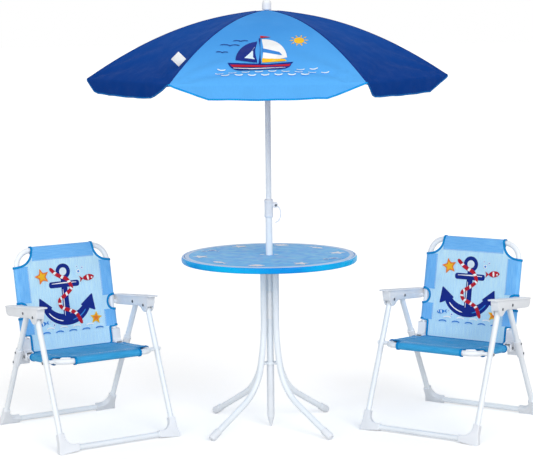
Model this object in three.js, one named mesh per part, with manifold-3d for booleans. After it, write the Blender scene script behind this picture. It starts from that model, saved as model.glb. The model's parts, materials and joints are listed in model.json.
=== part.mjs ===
// Kids table with a pole umbrella and two folding armchairs.
// Millimetres, +Z up. The origin is on the floor, on the axis of the umbrella pole.
import * as THREE from 'three';
import { mergeVertices } from 'three/addons/utils/BufferGeometryUtils.js';
import Module from 'manifold-3d';

const wasm = await Module();
wasm.setup();

// ---------- driving dimensions ----------
const GAP = 0.35; // clearance left between two touching pieces
const TUBE_SIDES = 8;
const POLE_SIDES = 16;
const BEND_STEPS = 3;

const TABLE = {
  height: 500,
  radius: 250,
  rimHeight: 18,
  panelThickness: 6,
  poleHole: 11.3,
  legRadius: 8.8,
  legOffset: 17.8, // of each upright leg from the pole axis, in X and in Y
  footReach: 236, // of each foot from the pole axis
  footSlope: Math.PI / 6, // of the splayed lower leg
  bendRadius: 140,
  collarBottom: 182,
  collarHeight: 8,
};

const POLE = {
  lowerRadius: 9.75,
  upperRadius: 8.25,
  wall: 1.1,
  spikeRadius: 10.5,
  spikeTop: 182,
  socketFloor: 140,
  upperBottom: TABLE.height, // of the upper tube, inside the lower one
  clampTop: TABLE.height + 159,
  clampLength: 52,
  clampWall: 3.05,
  top: 1220,
  ferrule: 37, // from the crown of the ribs to the top
};

const UMBRELLA = {
  ribs: 6,
  ribRadius: 2,
  reach: 505, // of the rib tips from the axis
  crownZ: POLE.top - POLE.ferrule, // of the rib curve on the axis
  drop: 182, // of the rib tips below it
  curve: 1.9, // exponent of the rib curve
  pivotRadius: 14.5,
  jointReach: 165, // of the rib joint that carries the stretcher
  stretcherLength: 170,
  stretcherSide: 4.2, // stretchers lie beside their ribs
  valance: 46,
  cloth: 1.6,
  lift: 5.2, // of the cloth above the rib curve
  hole: 8.2, // radius of the hole in the cloth for the ferrule's neck
};

// Chairs: X across, Y towards the back, Z up, from the middle of the front floor bar.
const CHAIR = {
  tube: 8,
  legX: 172,
  frameX: 143, // of the seat and back side tubes
  floorBarZ: 11,
  armPivot: [150.875, 355], // armrest on the front leg, as [y, z]
  legPivot: [216.125, 357], // rear leg on the armrest
  backPivot: [323.125, 343], // back on the armrest
  seatPivot: [99.875, 235], // seat on the front leg
  hingePivot: [282.125, 219], // seat on the back's knuckle
  rearFoot: [404, 11],
  seatFront: 68,
  backBottom: 234, // lower end of the back tubes, inside the knuckles
  backLean: 0.205,
  backTop: 511,
  rivet: 2.9,
};

const PLACES = [
  { name: 'left', x: -418, y: -196, turn: 32 },
  { name: 'right', x: 412, y: -142, turn: -33 },
];

const PAINT = {
  whiteSteel: { color: 0xf2f4f6, roughness: 0.35, metalness: 0.1 },
  whitePlastic: { color: 0xf4f5f6, roughness: 0.5, metalness: 0 },
  rimBlue: { color: 0x0f8fe8, roughness: 0.4, metalness: 0 },
  panelBlue: { color: 0x78b4ee, roughness: 0.45, metalness: 0 },
  canopyBlue: { color: 0x3f92e0, roughness: 0.85, metalness: 0 },
  seatBlue: { color: 0x2f8fd4, roughness: 0.9, metalness: 0 },
  backBlue: { color: 0xb4dcf6, roughness: 0.9, metalness: 0 },
};

// ---------- shape helpers ----------
const V = (x, y, z) => new THREE.Vector3(x, y, z);

// A bent centre line: straight runs with a round bend at each inner corner.
class BentPath extends THREE.Curve {
  constructor(corners, bendRadius, bendSteps = BEND_STEPS) {
    super();
    this.stations = [corners[0]];
    for (let i = 1; i < corners.length - 1; i += 1) {
      const before = corners[i - 1].clone().sub(corners[i]).normalize();
      const after = corners[i + 1].clone().sub(corners[i]).normalize();
      const half = before.angleTo(after) / 2;
      const middle = before.clone().add(after).normalize();
      const centre = corners[i].clone().addScaledVector(middle, bendRadius / Math.sin(half));
      const start = corners[i].clone().addScaledVector(before, bendRadius / Math.tan(half));
      const spoke = start.sub(centre);
      const axis = before.clone().negate().cross(after).normalize();
      for (let k = 0; k <= bendSteps; k += 1) {
        const turned = spoke.clone().applyAxisAngle(axis, (k / bendSteps) * (Math.PI - 2 * half));
        this.stations.push(turned.add(centre));
      }
    }
    this.stations.push(corners[corners.length - 1]);
  }

  get steps() {
    return this.stations.length - 1;
  }

  getPoint(t, target = V()) {
    const place = t * this.steps;
    const index = Math.min(Math.floor(place), this.steps - 1);
    return target.lerpVectors(this.stations[index], this.stations[index + 1], place - index);
  }

  getPointAt(u, target) {
    return this.getPoint(u, target);
  }

  getTangentAt(u, target = V()) {
    const index = Math.round(u * this.steps);
    const before = this.stations[Math.max(index - 1, 0)];
    const here = this.stations[index];
    const after = this.stations[Math.min(index + 1, this.steps)];
    const arriving = here.clone().sub(before).normalize();
    const leaving = after.clone().sub(here).normalize();
    return target.copy(arriving.add(leaving)).normalize();
  }
}

function polygon(radius, sides, hole = 0) {
  const ring = (r) => Array.from({ length: sides }, (_, k) => {
    const angle = ((k + 0.5) / sides) * 2 * Math.PI;
    return new THREE.Vector2(r * Math.cos(angle), r * Math.sin(angle));
  });
  const shape = new THREE.Shape(ring(radius));
  if (hole > 0) shape.holes.push(new THREE.Path(ring(hole)));
  return shape;
}

function alongPath(shape, path, steps = path.steps) {
  return new THREE.ExtrudeGeometry(shape, { steps, extrudePath: path, bevelEnabled: false });
}

function bentTube(corners, radius, bendRadius, bendSteps) {
  return alongPath(polygon(radius, TUBE_SIDES), new BentPath(corners, bendRadius, bendSteps));
}

// A round bar from one point to another, optionally tapered.
function bar(from, to, radius, sides = 12, endRadius = radius) {
  const length = from.distanceTo(to);
  const geometry = new THREE.CylinderGeometry(endRadius, radius, length, sides);
  geometry.translate(0, length / 2, 0);
  const aim = to.clone().sub(from).normalize();
  geometry.applyQuaternion(new THREE.Quaternion().setFromUnitVectors(V(0, 1, 0), aim));
  return geometry.translate(from.x, from.y, from.z);
}

// A bar across the chair at side-view point [y, z].
const crossBar = ([y, z], x0, x1, radius, sides = 6) => bar(V(x0, y, z), V(x1, y, z), radius, sides);

function block(x0, x1, y0, y1, z0, z1) {
  const geometry = new THREE.BoxGeometry(x1 - x0, y1 - y0, z1 - z0);
  return geometry.translate((x0 + x1) / 2, (y0 + y1) / 2, (z0 + z1) / 2);
}

// A plate with a plan outline of [x, y] points, from z0 to z1.
function plate(outline, z0, z1) {
  const shape = new THREE.Shape(outline.map(([x, y]) => new THREE.Vector2(x, y)));
  const geometry = new THREE.ExtrudeGeometry(shape, { depth: z1 - z0, bevelEnabled: false });
  return geometry.translate(0, 0, z0);
}

// A prism with a side-view outline of [y, z] points, from x0 to x1.
function sidePlate(outline, x0, x1) {
  const toSide = new THREE.Matrix4().makeBasis(V(0, 1, 0), V(0, 0, 1), V(1, 0, 0));
  return plate(outline, x0, x1).applyMatrix4(toSide);
}

// A turned piece about Z from a closed profile of [radius, z] points.
function turned(profile, segments) {
  const points = [...profile, profile[0]].map(([r, z]) => new THREE.Vector2(r, z));
  return new THREE.LatheGeometry(points, segments).rotateX(Math.PI / 2);
}

function volume(geometry) {
  const flat = geometry.index ? geometry.toNonIndexed() : geometry;
  const p = flat.getAttribute('position');
  const [a, b, c] = [V(), V(), V()];
  let sum = 0;
  for (let i = 0; i < p.count; i += 3) {
    a.fromBufferAttribute(p, i);
    b.fromBufferAttribute(p, i + 1);
    c.fromBufferAttribute(p, i + 2);
    sum += a.dot(b.cross(c)) / 6;
  }
  return sum;
}

// One closed, outward-facing mesh with shared vertices and position only.
function closed(geometry) {
  const bare = geometry.clone();
  bare.deleteAttribute('normal');
  bare.deleteAttribute('uv');
  const merged = mergeVertices(bare, 1e-3);
  const corners = merged.index.array;
  const kept = [];
  for (let i = 0; i < corners.length; i += 3) {
    const [a, b, c] = [corners[i], corners[i + 1], corners[i + 2]];
    if (a !== b && b !== c && c !== a) kept.push(a, b, c);
  }
  merged.setIndex(kept);
  if (volume(merged) < 0) merged.setIndex(kept.reverse());
  return merged;
}

function solid(geometry) {
  const merged = closed(geometry);
  return new wasm.Manifold(new wasm.Mesh({
    numProp: 3,
    vertProperties: new Float32Array(merged.getAttribute('position').array),
    triVerts: new Uint32Array(merged.index.array),
  }));
}

function toGeometry(manifold) {
  const mesh = manifold.getMesh();
  const geometry = new THREE.BufferGeometry();
  geometry.setAttribute('position', new THREE.BufferAttribute(mesh.vertProperties, 3));
  geometry.setIndex(new THREE.BufferAttribute(mesh.triVerts, 1));
  return geometry;
}

// Joins the added geometries, then takes the removed ones away.
function carve(added, removed = []) {
  let result = solid(added[0]);
  for (const geometry of added.slice(1)) result = result.add(solid(geometry));
  for (const geometry of removed) result = result.subtract(solid(geometry));
  return toGeometry(result);
}

const mirrored = (outline) => [...outline, ...outline.map(([x, y]) => [-x, y]).reverse()];

function piece(name, geometry, paint) {
  const mesh = new THREE.Mesh(closed(geometry), new THREE.MeshStandardMaterial(PAINT[paint]));
  mesh.geometry.computeVertexNormals();
  mesh.name = name;
  return mesh;
}

// ---------- table ----------
const ROUND = 40; // facets round the table top

function tableRim() {
  const { height, radius, rimHeight, panelThickness } = TABLE;
  const bottom = height - rimHeight;
  const ledge = height - 1 - panelThickness;
  return turned([
    [radius - 9, bottom],
    [radius - 2, bottom],
    [radius, bottom + 3],
    [radius, height - 5],
    [radius - 3, height - 0.6],
    [radius - 7.5, height],
    [radius - 8, ledge],
    [radius - 15, ledge],
    [radius - 15, ledge - 3],
  ], ROUND);
}

function tablePanel() {
  const bottom = TABLE.height - 1 - TABLE.panelThickness + GAP;
  const top = TABLE.height - 1 + GAP;
  const edge = TABLE.radius - 8 - GAP;
  return turned([
    [TABLE.poleHole, bottom],
    [edge, bottom],
    [edge, top - 1],
    [edge - 1, top],
    [TABLE.poleHole, top],
  ], ROUND);
}

// Moulded spider under the panel: a boss that holds the legs, and tapered arms to the rim.
const SPIDER = { arms: 8, bossRadius: 43, bossDepth: 30, armDepth: 24, armEnd: 8, armHalf: 2 };

function tableSpider() {
  const top = TABLE.height - 1 - TABLE.panelThickness;
  const reach = TABLE.radius - 17;
  const added = [turned([
    [0, top - SPIDER.bossDepth],
    [SPIDER.bossRadius - 6, top - SPIDER.bossDepth],
    [SPIDER.bossRadius, top - SPIDER.bossDepth + 6],
    [SPIDER.bossRadius, top],
    [0, top],
  ], 16)];
  const arm = [
    [SPIDER.bossRadius - 5, top - SPIDER.armDepth],
    [reach, top - SPIDER.armEnd],
    [reach, top],
    [SPIDER.bossRadius - 5, top],
  ];
  for (let k = 0; k < SPIDER.arms; k += 1) {
    const angle = ((k + 0.5) / SPIDER.arms) * 2 * Math.PI;
    added.push(sidePlate(arm, -SPIDER.armHalf, SPIDER.armHalf).rotateZ(angle));
  }
  const removed = [bar(V(0, 0, top - 50), V(0, 0, top + 10), TABLE.poleHole, 16)];
  for (const [sx, sy] of LEG_SIDES) {
    const [x, y] = [sx * TABLE.legOffset, sy * TABLE.legOffset];
    const socket = TABLE.legRadius + GAP;
    removed.push(bar(V(x, y, top - 50), V(x, y, top - 6), socket, 12));
  }
  return carve(added, removed);
}

const LEG_SIDES = [[-1, -1], [1, -1], [-1, 1], [1, 1]];
const LEG_NAMES = ['front_left', 'front_right', 'rear_left', 'rear_right'];

// One leg, drawn in the XZ plane at distance d from the pole, then turned to its corner.
function tableLeg() {
  const { legRadius, legOffset, footReach, footSlope, bendRadius } = TABLE;
  const upright = legOffset * Math.SQRT2;
  const capRadius = legRadius + 2.2;
  const footZ = capRadius * Math.cos(footSlope) - 2.8;
  const rise = (footReach - upright) * Math.tan(footSlope);
  const top = V(upright, 0, TABLE.height - 1 - TABLE.panelThickness - 6 - GAP);
  const bend = V(upright, 0, footZ + rise);
  const foot = V(footReach, 0, footZ);
  const cap = turned([
    [0, -1],
    [capRadius - 2.5, -1],
    [capRadius, 3],
    [capRadius, 32],
    [capRadius - 1, 33],
    [0, 33],
  ], 12);
  cap.rotateY(footSlope - Math.PI / 2).translate(foot.x, 0, foot.z);
  return carve([bentTube([top, bend, foot], legRadius, bendRadius, 6), cap], [
    block(0, 2 * footReach, -50, 50, -50, 0),
  ]);
}

function poleCollar() {
  const { poleHole, legOffset, legRadius, collarBottom, collarHeight } = TABLE;
  const outer = legOffset * Math.SQRT2 - legRadius - GAP;
  const top = collarBottom + collarHeight;
  return turned([
    [poleHole, collarBottom],
    [outer, collarBottom],
    [outer, top],
    [poleHole, top],
  ], POLE_SIDES);
}

function table() {
  const group = new THREE.Group();
  group.add(piece('table_rim', tableRim(), 'rimBlue'));
  group.add(piece('table_top', tablePanel(), 'panelBlue'));
  group.add(piece('table_spider', tableSpider(), 'whitePlastic'));
  group.add(piece('pole_collar', poleCollar(), 'whitePlastic'));
  LEG_SIDES.forEach(([sx, sy], k) => {
    const leg = piece(`table_leg_${LEG_NAMES[k]}`, tableLeg(), 'whiteSteel');
    leg.rotation.z = Math.atan2(sy, sx);
    group.add(leg);
  });
  return group;
}

// ---------- umbrella pole ----------
function groundSpike() {
  const { spikeRadius, spikeTop, socketFloor, lowerRadius } = POLE;
  const socket = lowerRadius + GAP - 0.1;
  return turned([
    [0, 0],
    [2.5, 0],
    [spikeRadius, 30],
    [spikeRadius, spikeTop],
    [socket, spikeTop],
    [socket, socketFloor],
    [0, socketFloor],
  ], POLE_SIDES);
}

function lowerPole() {
  const { lowerRadius, wall, socketFloor, clampTop } = POLE;
  const bottom = socketFloor + GAP;
  const top = clampTop - 4;
  return turned([
    [lowerRadius - wall, bottom],
    [lowerRadius, bottom],
    [lowerRadius, top],
    [lowerRadius - wall, top],
  ], POLE_SIDES);
}

function upperPole() {
  const { upperRadius, upperBottom, wall } = POLE;
  return turned([
    [upperRadius - wall, upperBottom],
    [upperRadius, upperBottom],
    [upperRadius, CROWN.poleTop],
    [upperRadius - wall, CROWN.poleTop],
  ], POLE_SIDES);
}

const LEVER = { x: 20, z: POLE.clampTop - 17.5, halfWidth: 2.9, pin: 2.2 };

function poleClamp() {
  const { lowerRadius, upperRadius, clampTop, clampLength, clampWall } = POLE;
  const bottom = clampTop - clampLength;
  const bore = lowerRadius + GAP;
  const outer = lowerRadius + clampWall;
  const neck = upperRadius + GAP;
  const sleeve = turned([
    [bore, bottom],
    [bore + 1.2, bottom],
    [outer, bottom + 2.5],
    [outer, clampTop - 3],
    [outer - 1.6, clampTop],
    [neck, clampTop],
    [neck, clampTop - 3.6],
    [bore, clampTop - 3.6],
  ], POLE_SIDES);
  const ear = (y0, y1) => block(outer - 2.2, LEVER.x + 5, y0, y1, LEVER.z - 7.5, LEVER.z + 8.5);
  const slot = LEVER.halfWidth + GAP;
  const pin = bar(V(LEVER.x, -slot - 4.4, LEVER.z), V(LEVER.x, slot + 4.4, LEVER.z), LEVER.pin, 10);
  return carve([sleeve, ear(-slot - 3, -slot), ear(slot, slot + 3), pin]);
}

// Over-centre lever: an eye on the clamp's pin and a bowed handle.
function clampLever() {
  const bow = [[0, 0], [9, -7.5], [13.5, -20.5], [12.5, -33.5], [7, -44.5], [-1.5, -50.5]];
  const handle = new THREE.CatmullRomCurve3(bow.map(([x, z]) => V(LEVER.x + x, 0, LEVER.z + z)));
  const section = new THREE.Shape([
    new THREE.Vector2(-1.9, -LEVER.halfWidth),
    new THREE.Vector2(1.9, -LEVER.halfWidth),
    new THREE.Vector2(1.9, LEVER.halfWidth),
    new THREE.Vector2(-1.9, LEVER.halfWidth),
  ]);
  const across = (radius, half) => bar(V(LEVER.x, -half, LEVER.z), V(LEVER.x, half, LEVER.z), radius, 14);
  return carve([
    alongPath(section, handle, 12),
    across(5.6, LEVER.halfWidth),
  ], [across(LEVER.pin + GAP, 10)]);
}

// ---------- umbrella head ----------
const CROWN = {
  radius: 17.5,
  slotHalf: 2.6,
  neck: UMBRELLA.hole - 1.6,
  bottom: UMBRELLA.crownZ - 11,
  top: UMBRELLA.crownZ + 3.8,
  boreTop: UMBRELLA.crownZ,
  poleTop: UMBRELLA.crownZ - 0.5,
  ferruleBottom: UMBRELLA.crownZ + UMBRELLA.lift + UMBRELLA.cloth + 0.4,
};
const RUNNER = { radius: 17.5, flange: 8, length: 42, inner: POLE.upperRadius + GAP, outer: 11.3 };

const ribHeight = (r) => UMBRELLA.crownZ
  - UMBRELLA.drop * (r / UMBRELLA.reach) ** UMBRELLA.curve;

// Open position of the runner's pivots, from the stretcher's length.
const RUN = UMBRELLA.jointReach - UMBRELLA.pivotRadius;
const RUNNER_Z = ribHeight(UMBRELLA.jointReach) - Math.sqrt(UMBRELLA.stretcherLength ** 2 - RUN ** 2);

class RibCurve extends THREE.Curve {
  getPoint(t, target = V()) {
    const r = UMBRELLA.pivotRadius + t * (UMBRELLA.reach - UMBRELLA.pivotRadius);
    return target.set(r, 0, ribHeight(r));
  }
}

const RIB_SIDES = 5;
const eye = (x, y, z, radius, half) => bar(V(x, y - half, z), V(x, y + half, z), radius, 6);

function rib() {
  const { pivotRadius, reach, ribRadius } = UMBRELLA;
  const tip = V(reach, 0, ribHeight(reach));
  const neck = V(reach - 12, 0, ribHeight(reach - 12));
  return carve([
    alongPath(polygon(ribRadius, RIB_SIDES), new RibCurve(), 7),
    eye(pivotRadius, 0, ribHeight(pivotRadius), 2.5, 2),
    bar(neck, tip, 3, 6, 2.4),
  ]);
}

function stretcher() {
  const { pivotRadius, jointReach, stretcherSide, ribRadius } = UMBRELLA;
  const outer = V(jointReach, stretcherSide, ribHeight(jointReach));
  const inner = V(pivotRadius, stretcherSide, RUNNER_Z);
  const rivet = bar(V(outer.x, ribRadius + GAP, outer.z), V(outer.x, stretcherSide, outer.z), 1.2, 5);
  return carve([
    bar(inner, outer, 1.5, RIB_SIDES),
    eye(inner.x, inner.y, inner.z, 2.3, 1.6),
    eye(outer.x, outer.y, outer.z, 2.3, 1.6),
    rivet,
  ]);
}

function turnedSlots(side, half, inner, outer, z0, z1) {
  return Array.from({ length: UMBRELLA.ribs }, (_, k) => {
    const slot = block(inner, outer, side - half, side + half, z0, z1);
    return slot.rotateZ((k / UMBRELLA.ribs) * 2 * Math.PI);
  });
}

// Ferrule above the cloth and slotted crown below it.
function ferruleCrown() {
  const bore = POLE.upperRadius + 0.15;
  const profile = [
    [0, POLE.top],
    [6, POLE.top - 0.8],
    [11, POLE.top - 4.5],
    [13, POLE.top - 11],
    [13, CROWN.ferruleBottom + 2],
    [11.4, CROWN.ferruleBottom],
    [CROWN.neck, CROWN.ferruleBottom],
    [CROWN.neck, CROWN.top],
    [CROWN.radius, CROWN.top],
    [CROWN.radius, CROWN.bottom],
    [bore, CROWN.bottom],
    [bore, CROWN.boreTop],
    [0, CROWN.boreTop],
  ];
  const slots = turnedSlots(0, CROWN.slotHalf, 11.3, 30, CROWN.bottom - 1, CROWN.top - 0.9);
  return carve([turned(profile, POLE_SIDES)], slots);
}

// Runner: a sleeve on the upper pole with an open channel for each stretcher.
function runner() {
  const { radius, flange, length, inner, outer } = RUNNER;
  const top = RUNNER_Z + flange;
  const profile = [
    [inner, top - length],
    [outer + 1.6, top - length],
    [outer, top - length + 5],
    [outer, RUNNER_Z - flange],
    [radius, RUNNER_Z - flange],
    [radius, top],
    [inner, top],
  ];
  const side = UMBRELLA.stretcherSide;
  const slots = turnedSlots(side, 1.6 + GAP, 11.6, 30, RUNNER_Z - flange - 1, top + 1);
  return carve([turned(profile, POLE_SIDES)], slots);
}

const PANEL_STEPS = 6; // facets across one panel of the canopy
const CANOPY_RINGS = [0.067, 0.218, 0.416, 0.634, 0.851]; // crease rings, as shares of the ribs' reach

// Six flat-sided panels with a hanging valance, as one thin closed skin.
function canopy() {
  const { ribs, reach, cloth, lift, hole, valance } = UMBRELLA;
  const radii = [hole, ...CANOPY_RINGS.map((share) => share * reach), reach + 4];
  const outside = radii.map((r) => [r, ribHeight(Math.min(r, reach)) + lift + cloth]);
  const hem = [reach + 3, ribHeight(reach) - valance];
  const inside = radii.map((r) => [r - (r > reach ? cloth : 0), ribHeight(Math.min(r, reach)) + lift]);
  const hemInside = [hem[0] - cloth, hem[1]];
  const shell = turned([...outside, hem, hemInside, ...inside.reverse()], ribs * PANEL_STEPS);
  const p = shell.getAttribute('position');
  const share = (2 * Math.PI) / ribs;
  const taper = 0.16; // of a panel's width, from a rib tip to the valance's full depth
  for (let i = 0; i < p.count; i += 1) {
    const angle = Math.atan2(p.getY(i), p.getX(i)) + 2 * Math.PI;
    const across = (angle % share) / share;
    const chord = Math.cos(share / 2) / Math.cos((across - 0.5) * share);
    const depth = Math.min(Math.min(across, 1 - across) / taper, 1);
    const below = Math.max(ribHeight(reach) - p.getZ(i), 0);
    const kept = below > 1 ? below * (1 - 0.9 * (1 - depth)) : below;
    p.setXYZ(i, p.getX(i) * chord, p.getY(i) * chord, p.getZ(i) + below - kept);
  }
  return shell;
}

function umbrella() {
  const group = new THREE.Group();
  group.add(piece('ground_spike', groundSpike(), 'whitePlastic'));
  group.add(piece('lower_pole', lowerPole(), 'whiteSteel'));
  group.add(piece('upper_pole', upperPole(), 'whiteSteel'));
  group.add(piece('pole_clamp', poleClamp(), 'whitePlastic'));
  group.add(piece('clamp_lever', clampLever(), 'whitePlastic'));
  group.add(piece('ferrule_crown', ferruleCrown(), 'whitePlastic'));
  group.add(piece('runner', runner(), 'whitePlastic'));
  group.add(piece('canopy', canopy(), 'canopyBlue'));
  for (let k = 0; k < UMBRELLA.ribs; k += 1) {
    const spoke = new THREE.Group();
    spoke.rotation.z = (k / UMBRELLA.ribs) * 2 * Math.PI;
    spoke.add(piece(`rib_${k + 1}`, rib(), 'whiteSteel'));
    spoke.add(piece(`stretcher_${k + 1}`, stretcher(), 'whiteSteel'));
    group.add(spoke);
  }
  return group;
}

// ---------- chair frames ----------
// Side-view lines [y, z]: a point, a unit direction, and the point at a distance along it.
function lineThrough(from, to) {
  const length = Math.hypot(to[0] - from[0], to[1] - from[1]);
  return { from, aim: [(to[0] - from[0]) / length, (to[1] - from[1]) / length], length };
}
const onLine = (line, s) => [line.from[0] + line.aim[0] * s, line.from[1] + line.aim[1] * s];

const FRONT_SLOPE = CHAIR.armPivot[0] / CHAIR.armPivot[1];
const FRONT_FOOT = [FRONT_SLOPE * CHAIR.floorBarZ, CHAIR.floorBarZ];
const FRONT_LEG = lineThrough(FRONT_FOOT, CHAIR.armPivot);
const REAR_LEG = lineThrough(CHAIR.rearFoot, CHAIR.legPivot);
const SEAT_LINE = lineThrough(CHAIR.seatPivot, CHAIR.hingePivot);
const onBack = (z) => [CHAIR.backPivot[0] + CHAIR.backLean * (z - CHAIR.backPivot[1]), z];
const SEAT_FRONT = onLine(SEAT_LINE, CHAIR.seatFront - CHAIR.seatPivot[0]);
const SIDES = [-1, 1];

// Corners of a U-shaped tube: side tubes at +-x from `open` to `far`, and a cross bar at `far`.
const uCorners = (x, open, far) => [
  V(-x, ...open), V(-x, ...far), V(x, ...far), V(x, ...open),
];
const U_FRAMES = {
  front: { corners: uCorners(CHAIR.legX, onLine(FRONT_LEG, FRONT_LEG.length + 9), FRONT_FOOT), bend: 36 },
  rear: { corners: uCorners(CHAIR.legX, onLine(REAR_LEG, REAR_LEG.length + 7), CHAIR.rearFoot), bend: 36 },
  seat: { corners: uCorners(CHAIR.frameX, onLine(SEAT_LINE, SEAT_LINE.length + 8), SEAT_FRONT), bend: 34 },
  back: { corners: uCorners(CHAIR.frameX, onBack(CHAIR.backBottom), onBack(CHAIR.backTop)), bend: 46 },
};
const uTube = ({ corners, bend }, extra = 0) => bentTube(corners, CHAIR.tube + extra, bend);

const BEYOND = 20; // how far a drilling bar passes a tube
const RIVET_HOLE = CHAIR.rivet + GAP;
const drilled = (pivot, x) => crossBar(pivot, -x - BEYOND, x + BEYOND, RIVET_HOLE, 8);

function frontFrame() {
  const { armPivot, seatPivot, legX } = CHAIR;
  return carve([uTube(U_FRAMES.front)], [drilled(armPivot, legX), drilled(seatPivot, legX)]);
}

function rearFrame() {
  return carve([uTube(U_FRAMES.rear)], [drilled(CHAIR.legPivot, CHAIR.legX)]);
}

function backFrame() {
  return carve([uTube(U_FRAMES.back)], [drilled(CHAIR.backPivot, CHAIR.frameX)]);
}

const SEAT_CROSS = 158; // of the rear cross tube from the seat pivot, along the seat
const HINGE_PIN = 2.6;
const HINGE_PLAY = 1.8; // radial clearance of the opened pivot
const RIVET_HEAD = 5.5;

function seatFrame() {
  const { frameX, legX, tube, rivet, seatPivot, hingePivot } = CHAIR;
  const cross = onLine(SEAT_LINE, SEAT_CROSS);
  const added = [uTube(U_FRAMES.seat), crossBar(cross, -frameX, frameX, 6, TUBE_SIDES)];
  const legInner = legX - tube - GAP;
  const legOuter = legX + tube + GAP;
  for (const side of SIDES) {
    const across = (x0, x1, radius) => crossBar(seatPivot, side * x0, side * x1, radius);
    added.push(across(frameX, legInner, RIVET_HEAD));
    added.push(across(frameX, legOuter + 1, rivet));
    added.push(across(legOuter, legOuter + 2.6, RIVET_HEAD));
  }
  const hole = HINGE_PIN + HINGE_PLAY;
  const inner = frameX - BEYOND;
  const outer = frameX + BEYOND;
  return carve(added, SIDES.map((side) => crossBar(hingePivot, side * inner, side * outer, hole, 8)));
}

// ---------- chair mouldings ----------
// Knuckle on the lower end of a back tube: a socket above and a fork for the seat tube below.
function knuckle(side) {
  const { frameX, tube, hingePivot } = CHAIR;
  const [y, z] = hingePivot;
  const outline = [
    [y - 12, z - 9],
    [y - 13, z + 3],
    [y - 8, z + 12],
    [y + 6, z + 16],
    [y + 11, z + 48],
    [y + 36, z + 48],
    [y + 31, z],
    [y + 24, z - 9],
    [y + 8, z - 11],
  ];
  const fork = [
    [y - 20, z - 20],
    [y + 12, z - 20],
    [y + 12, z + 12.3],
    [y - 20, z + 12.3],
  ];
  const slot = tube + GAP;
  const half = slot + 4;
  const x = side * frameX;
  const hollowed = carve([sidePlate(outline, x - half, x + half)], [
    sidePlate(fork, x - slot, x + slot),
    uTube(U_FRAMES.back, GAP),
  ]);
  return carve([hollowed, crossBar(hingePivot, x - half - 1.4, x + half + 1.4, HINGE_PIN)]);
}

// Bracket clipped round a rear leg, with the shelf that the knuckle rests on.
function bracket(side) {
  const { legX, frameX, tube, hingePivot } = CHAIR;
  const clip = tube + 3.2;
  const legPoint = (s) => V(side * legX, ...onLine(REAR_LEG, s));
  const low = REAR_LEG.length - 184;
  const high = REAR_LEG.length - 130;
  const top = hingePivot[1] - 11 - GAP;
  const shelf = [
    [hingePivot[0] + 18, top],
    [hingePivot[0] + 33, top],
    [hingePivot[0] + 33, top - 5],
    [hingePivot[0] + 24, top - 13],
    [hingePivot[0] + 20, top - 13],
  ];
  const reach = [side * (frameX - 12), side * (legX - 4)].sort((a, b) => a - b);
  return carve([
    bar(legPoint(low), legPoint(high), clip, 10),
    sidePlate(shelf, ...reach),
  ], [uTube(U_FRAMES.rear, GAP)]);
}

// Corner shoe of a floor frame, drawn in the frame's own plane as [across, up the leg].
function shoe(frame, foot, leg, side) {
  const outline = [
    [9.6, 44],
    [-9.6, 44],
    [-12, 30],
    [-30, 12],
    [-48, 9.6],
    [-48, -10.5],
    [14, -20],
    [15, -10],
    [10.5, 18],
  ].map(([x, up]) => [side * (CHAIR.legX + x), up]);
  const half = CHAIR.tube + 2.6;
  const upright = V(0, ...leg.aim);
  const normal = V(1, 0, 0).cross(upright);
  const toFrame = new THREE.Matrix4().makeBasis(V(1, 0, 0), upright, normal);
  toFrame.setPosition(0, ...foot);
  const body = plate(outline, -half, half).applyMatrix4(toFrame);
  const floor = block(-300, 300, foot[0] - 100, foot[0] + 100, -60, 0);
  return carve([body], [uTube(frame, GAP), floor]);
}

// Armrest: a channel moulding open below, with rivets for both legs and for the back.
const ARM = {
  webs: 12, // half widths across the webs, the channel between them and the top plate
  channel: CHAIR.tube + 0.7,
  plate: 15,
  thickness: 5,
  webDepth: 17, // of the webs below the front pivot
  frontY: 109,
  rearY: 346,
  frontTop: 388,
  slope: 0.1138,
};
const armTop = (y) => ARM.frontTop - ARM.slope * (y - ARM.frontY);

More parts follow.
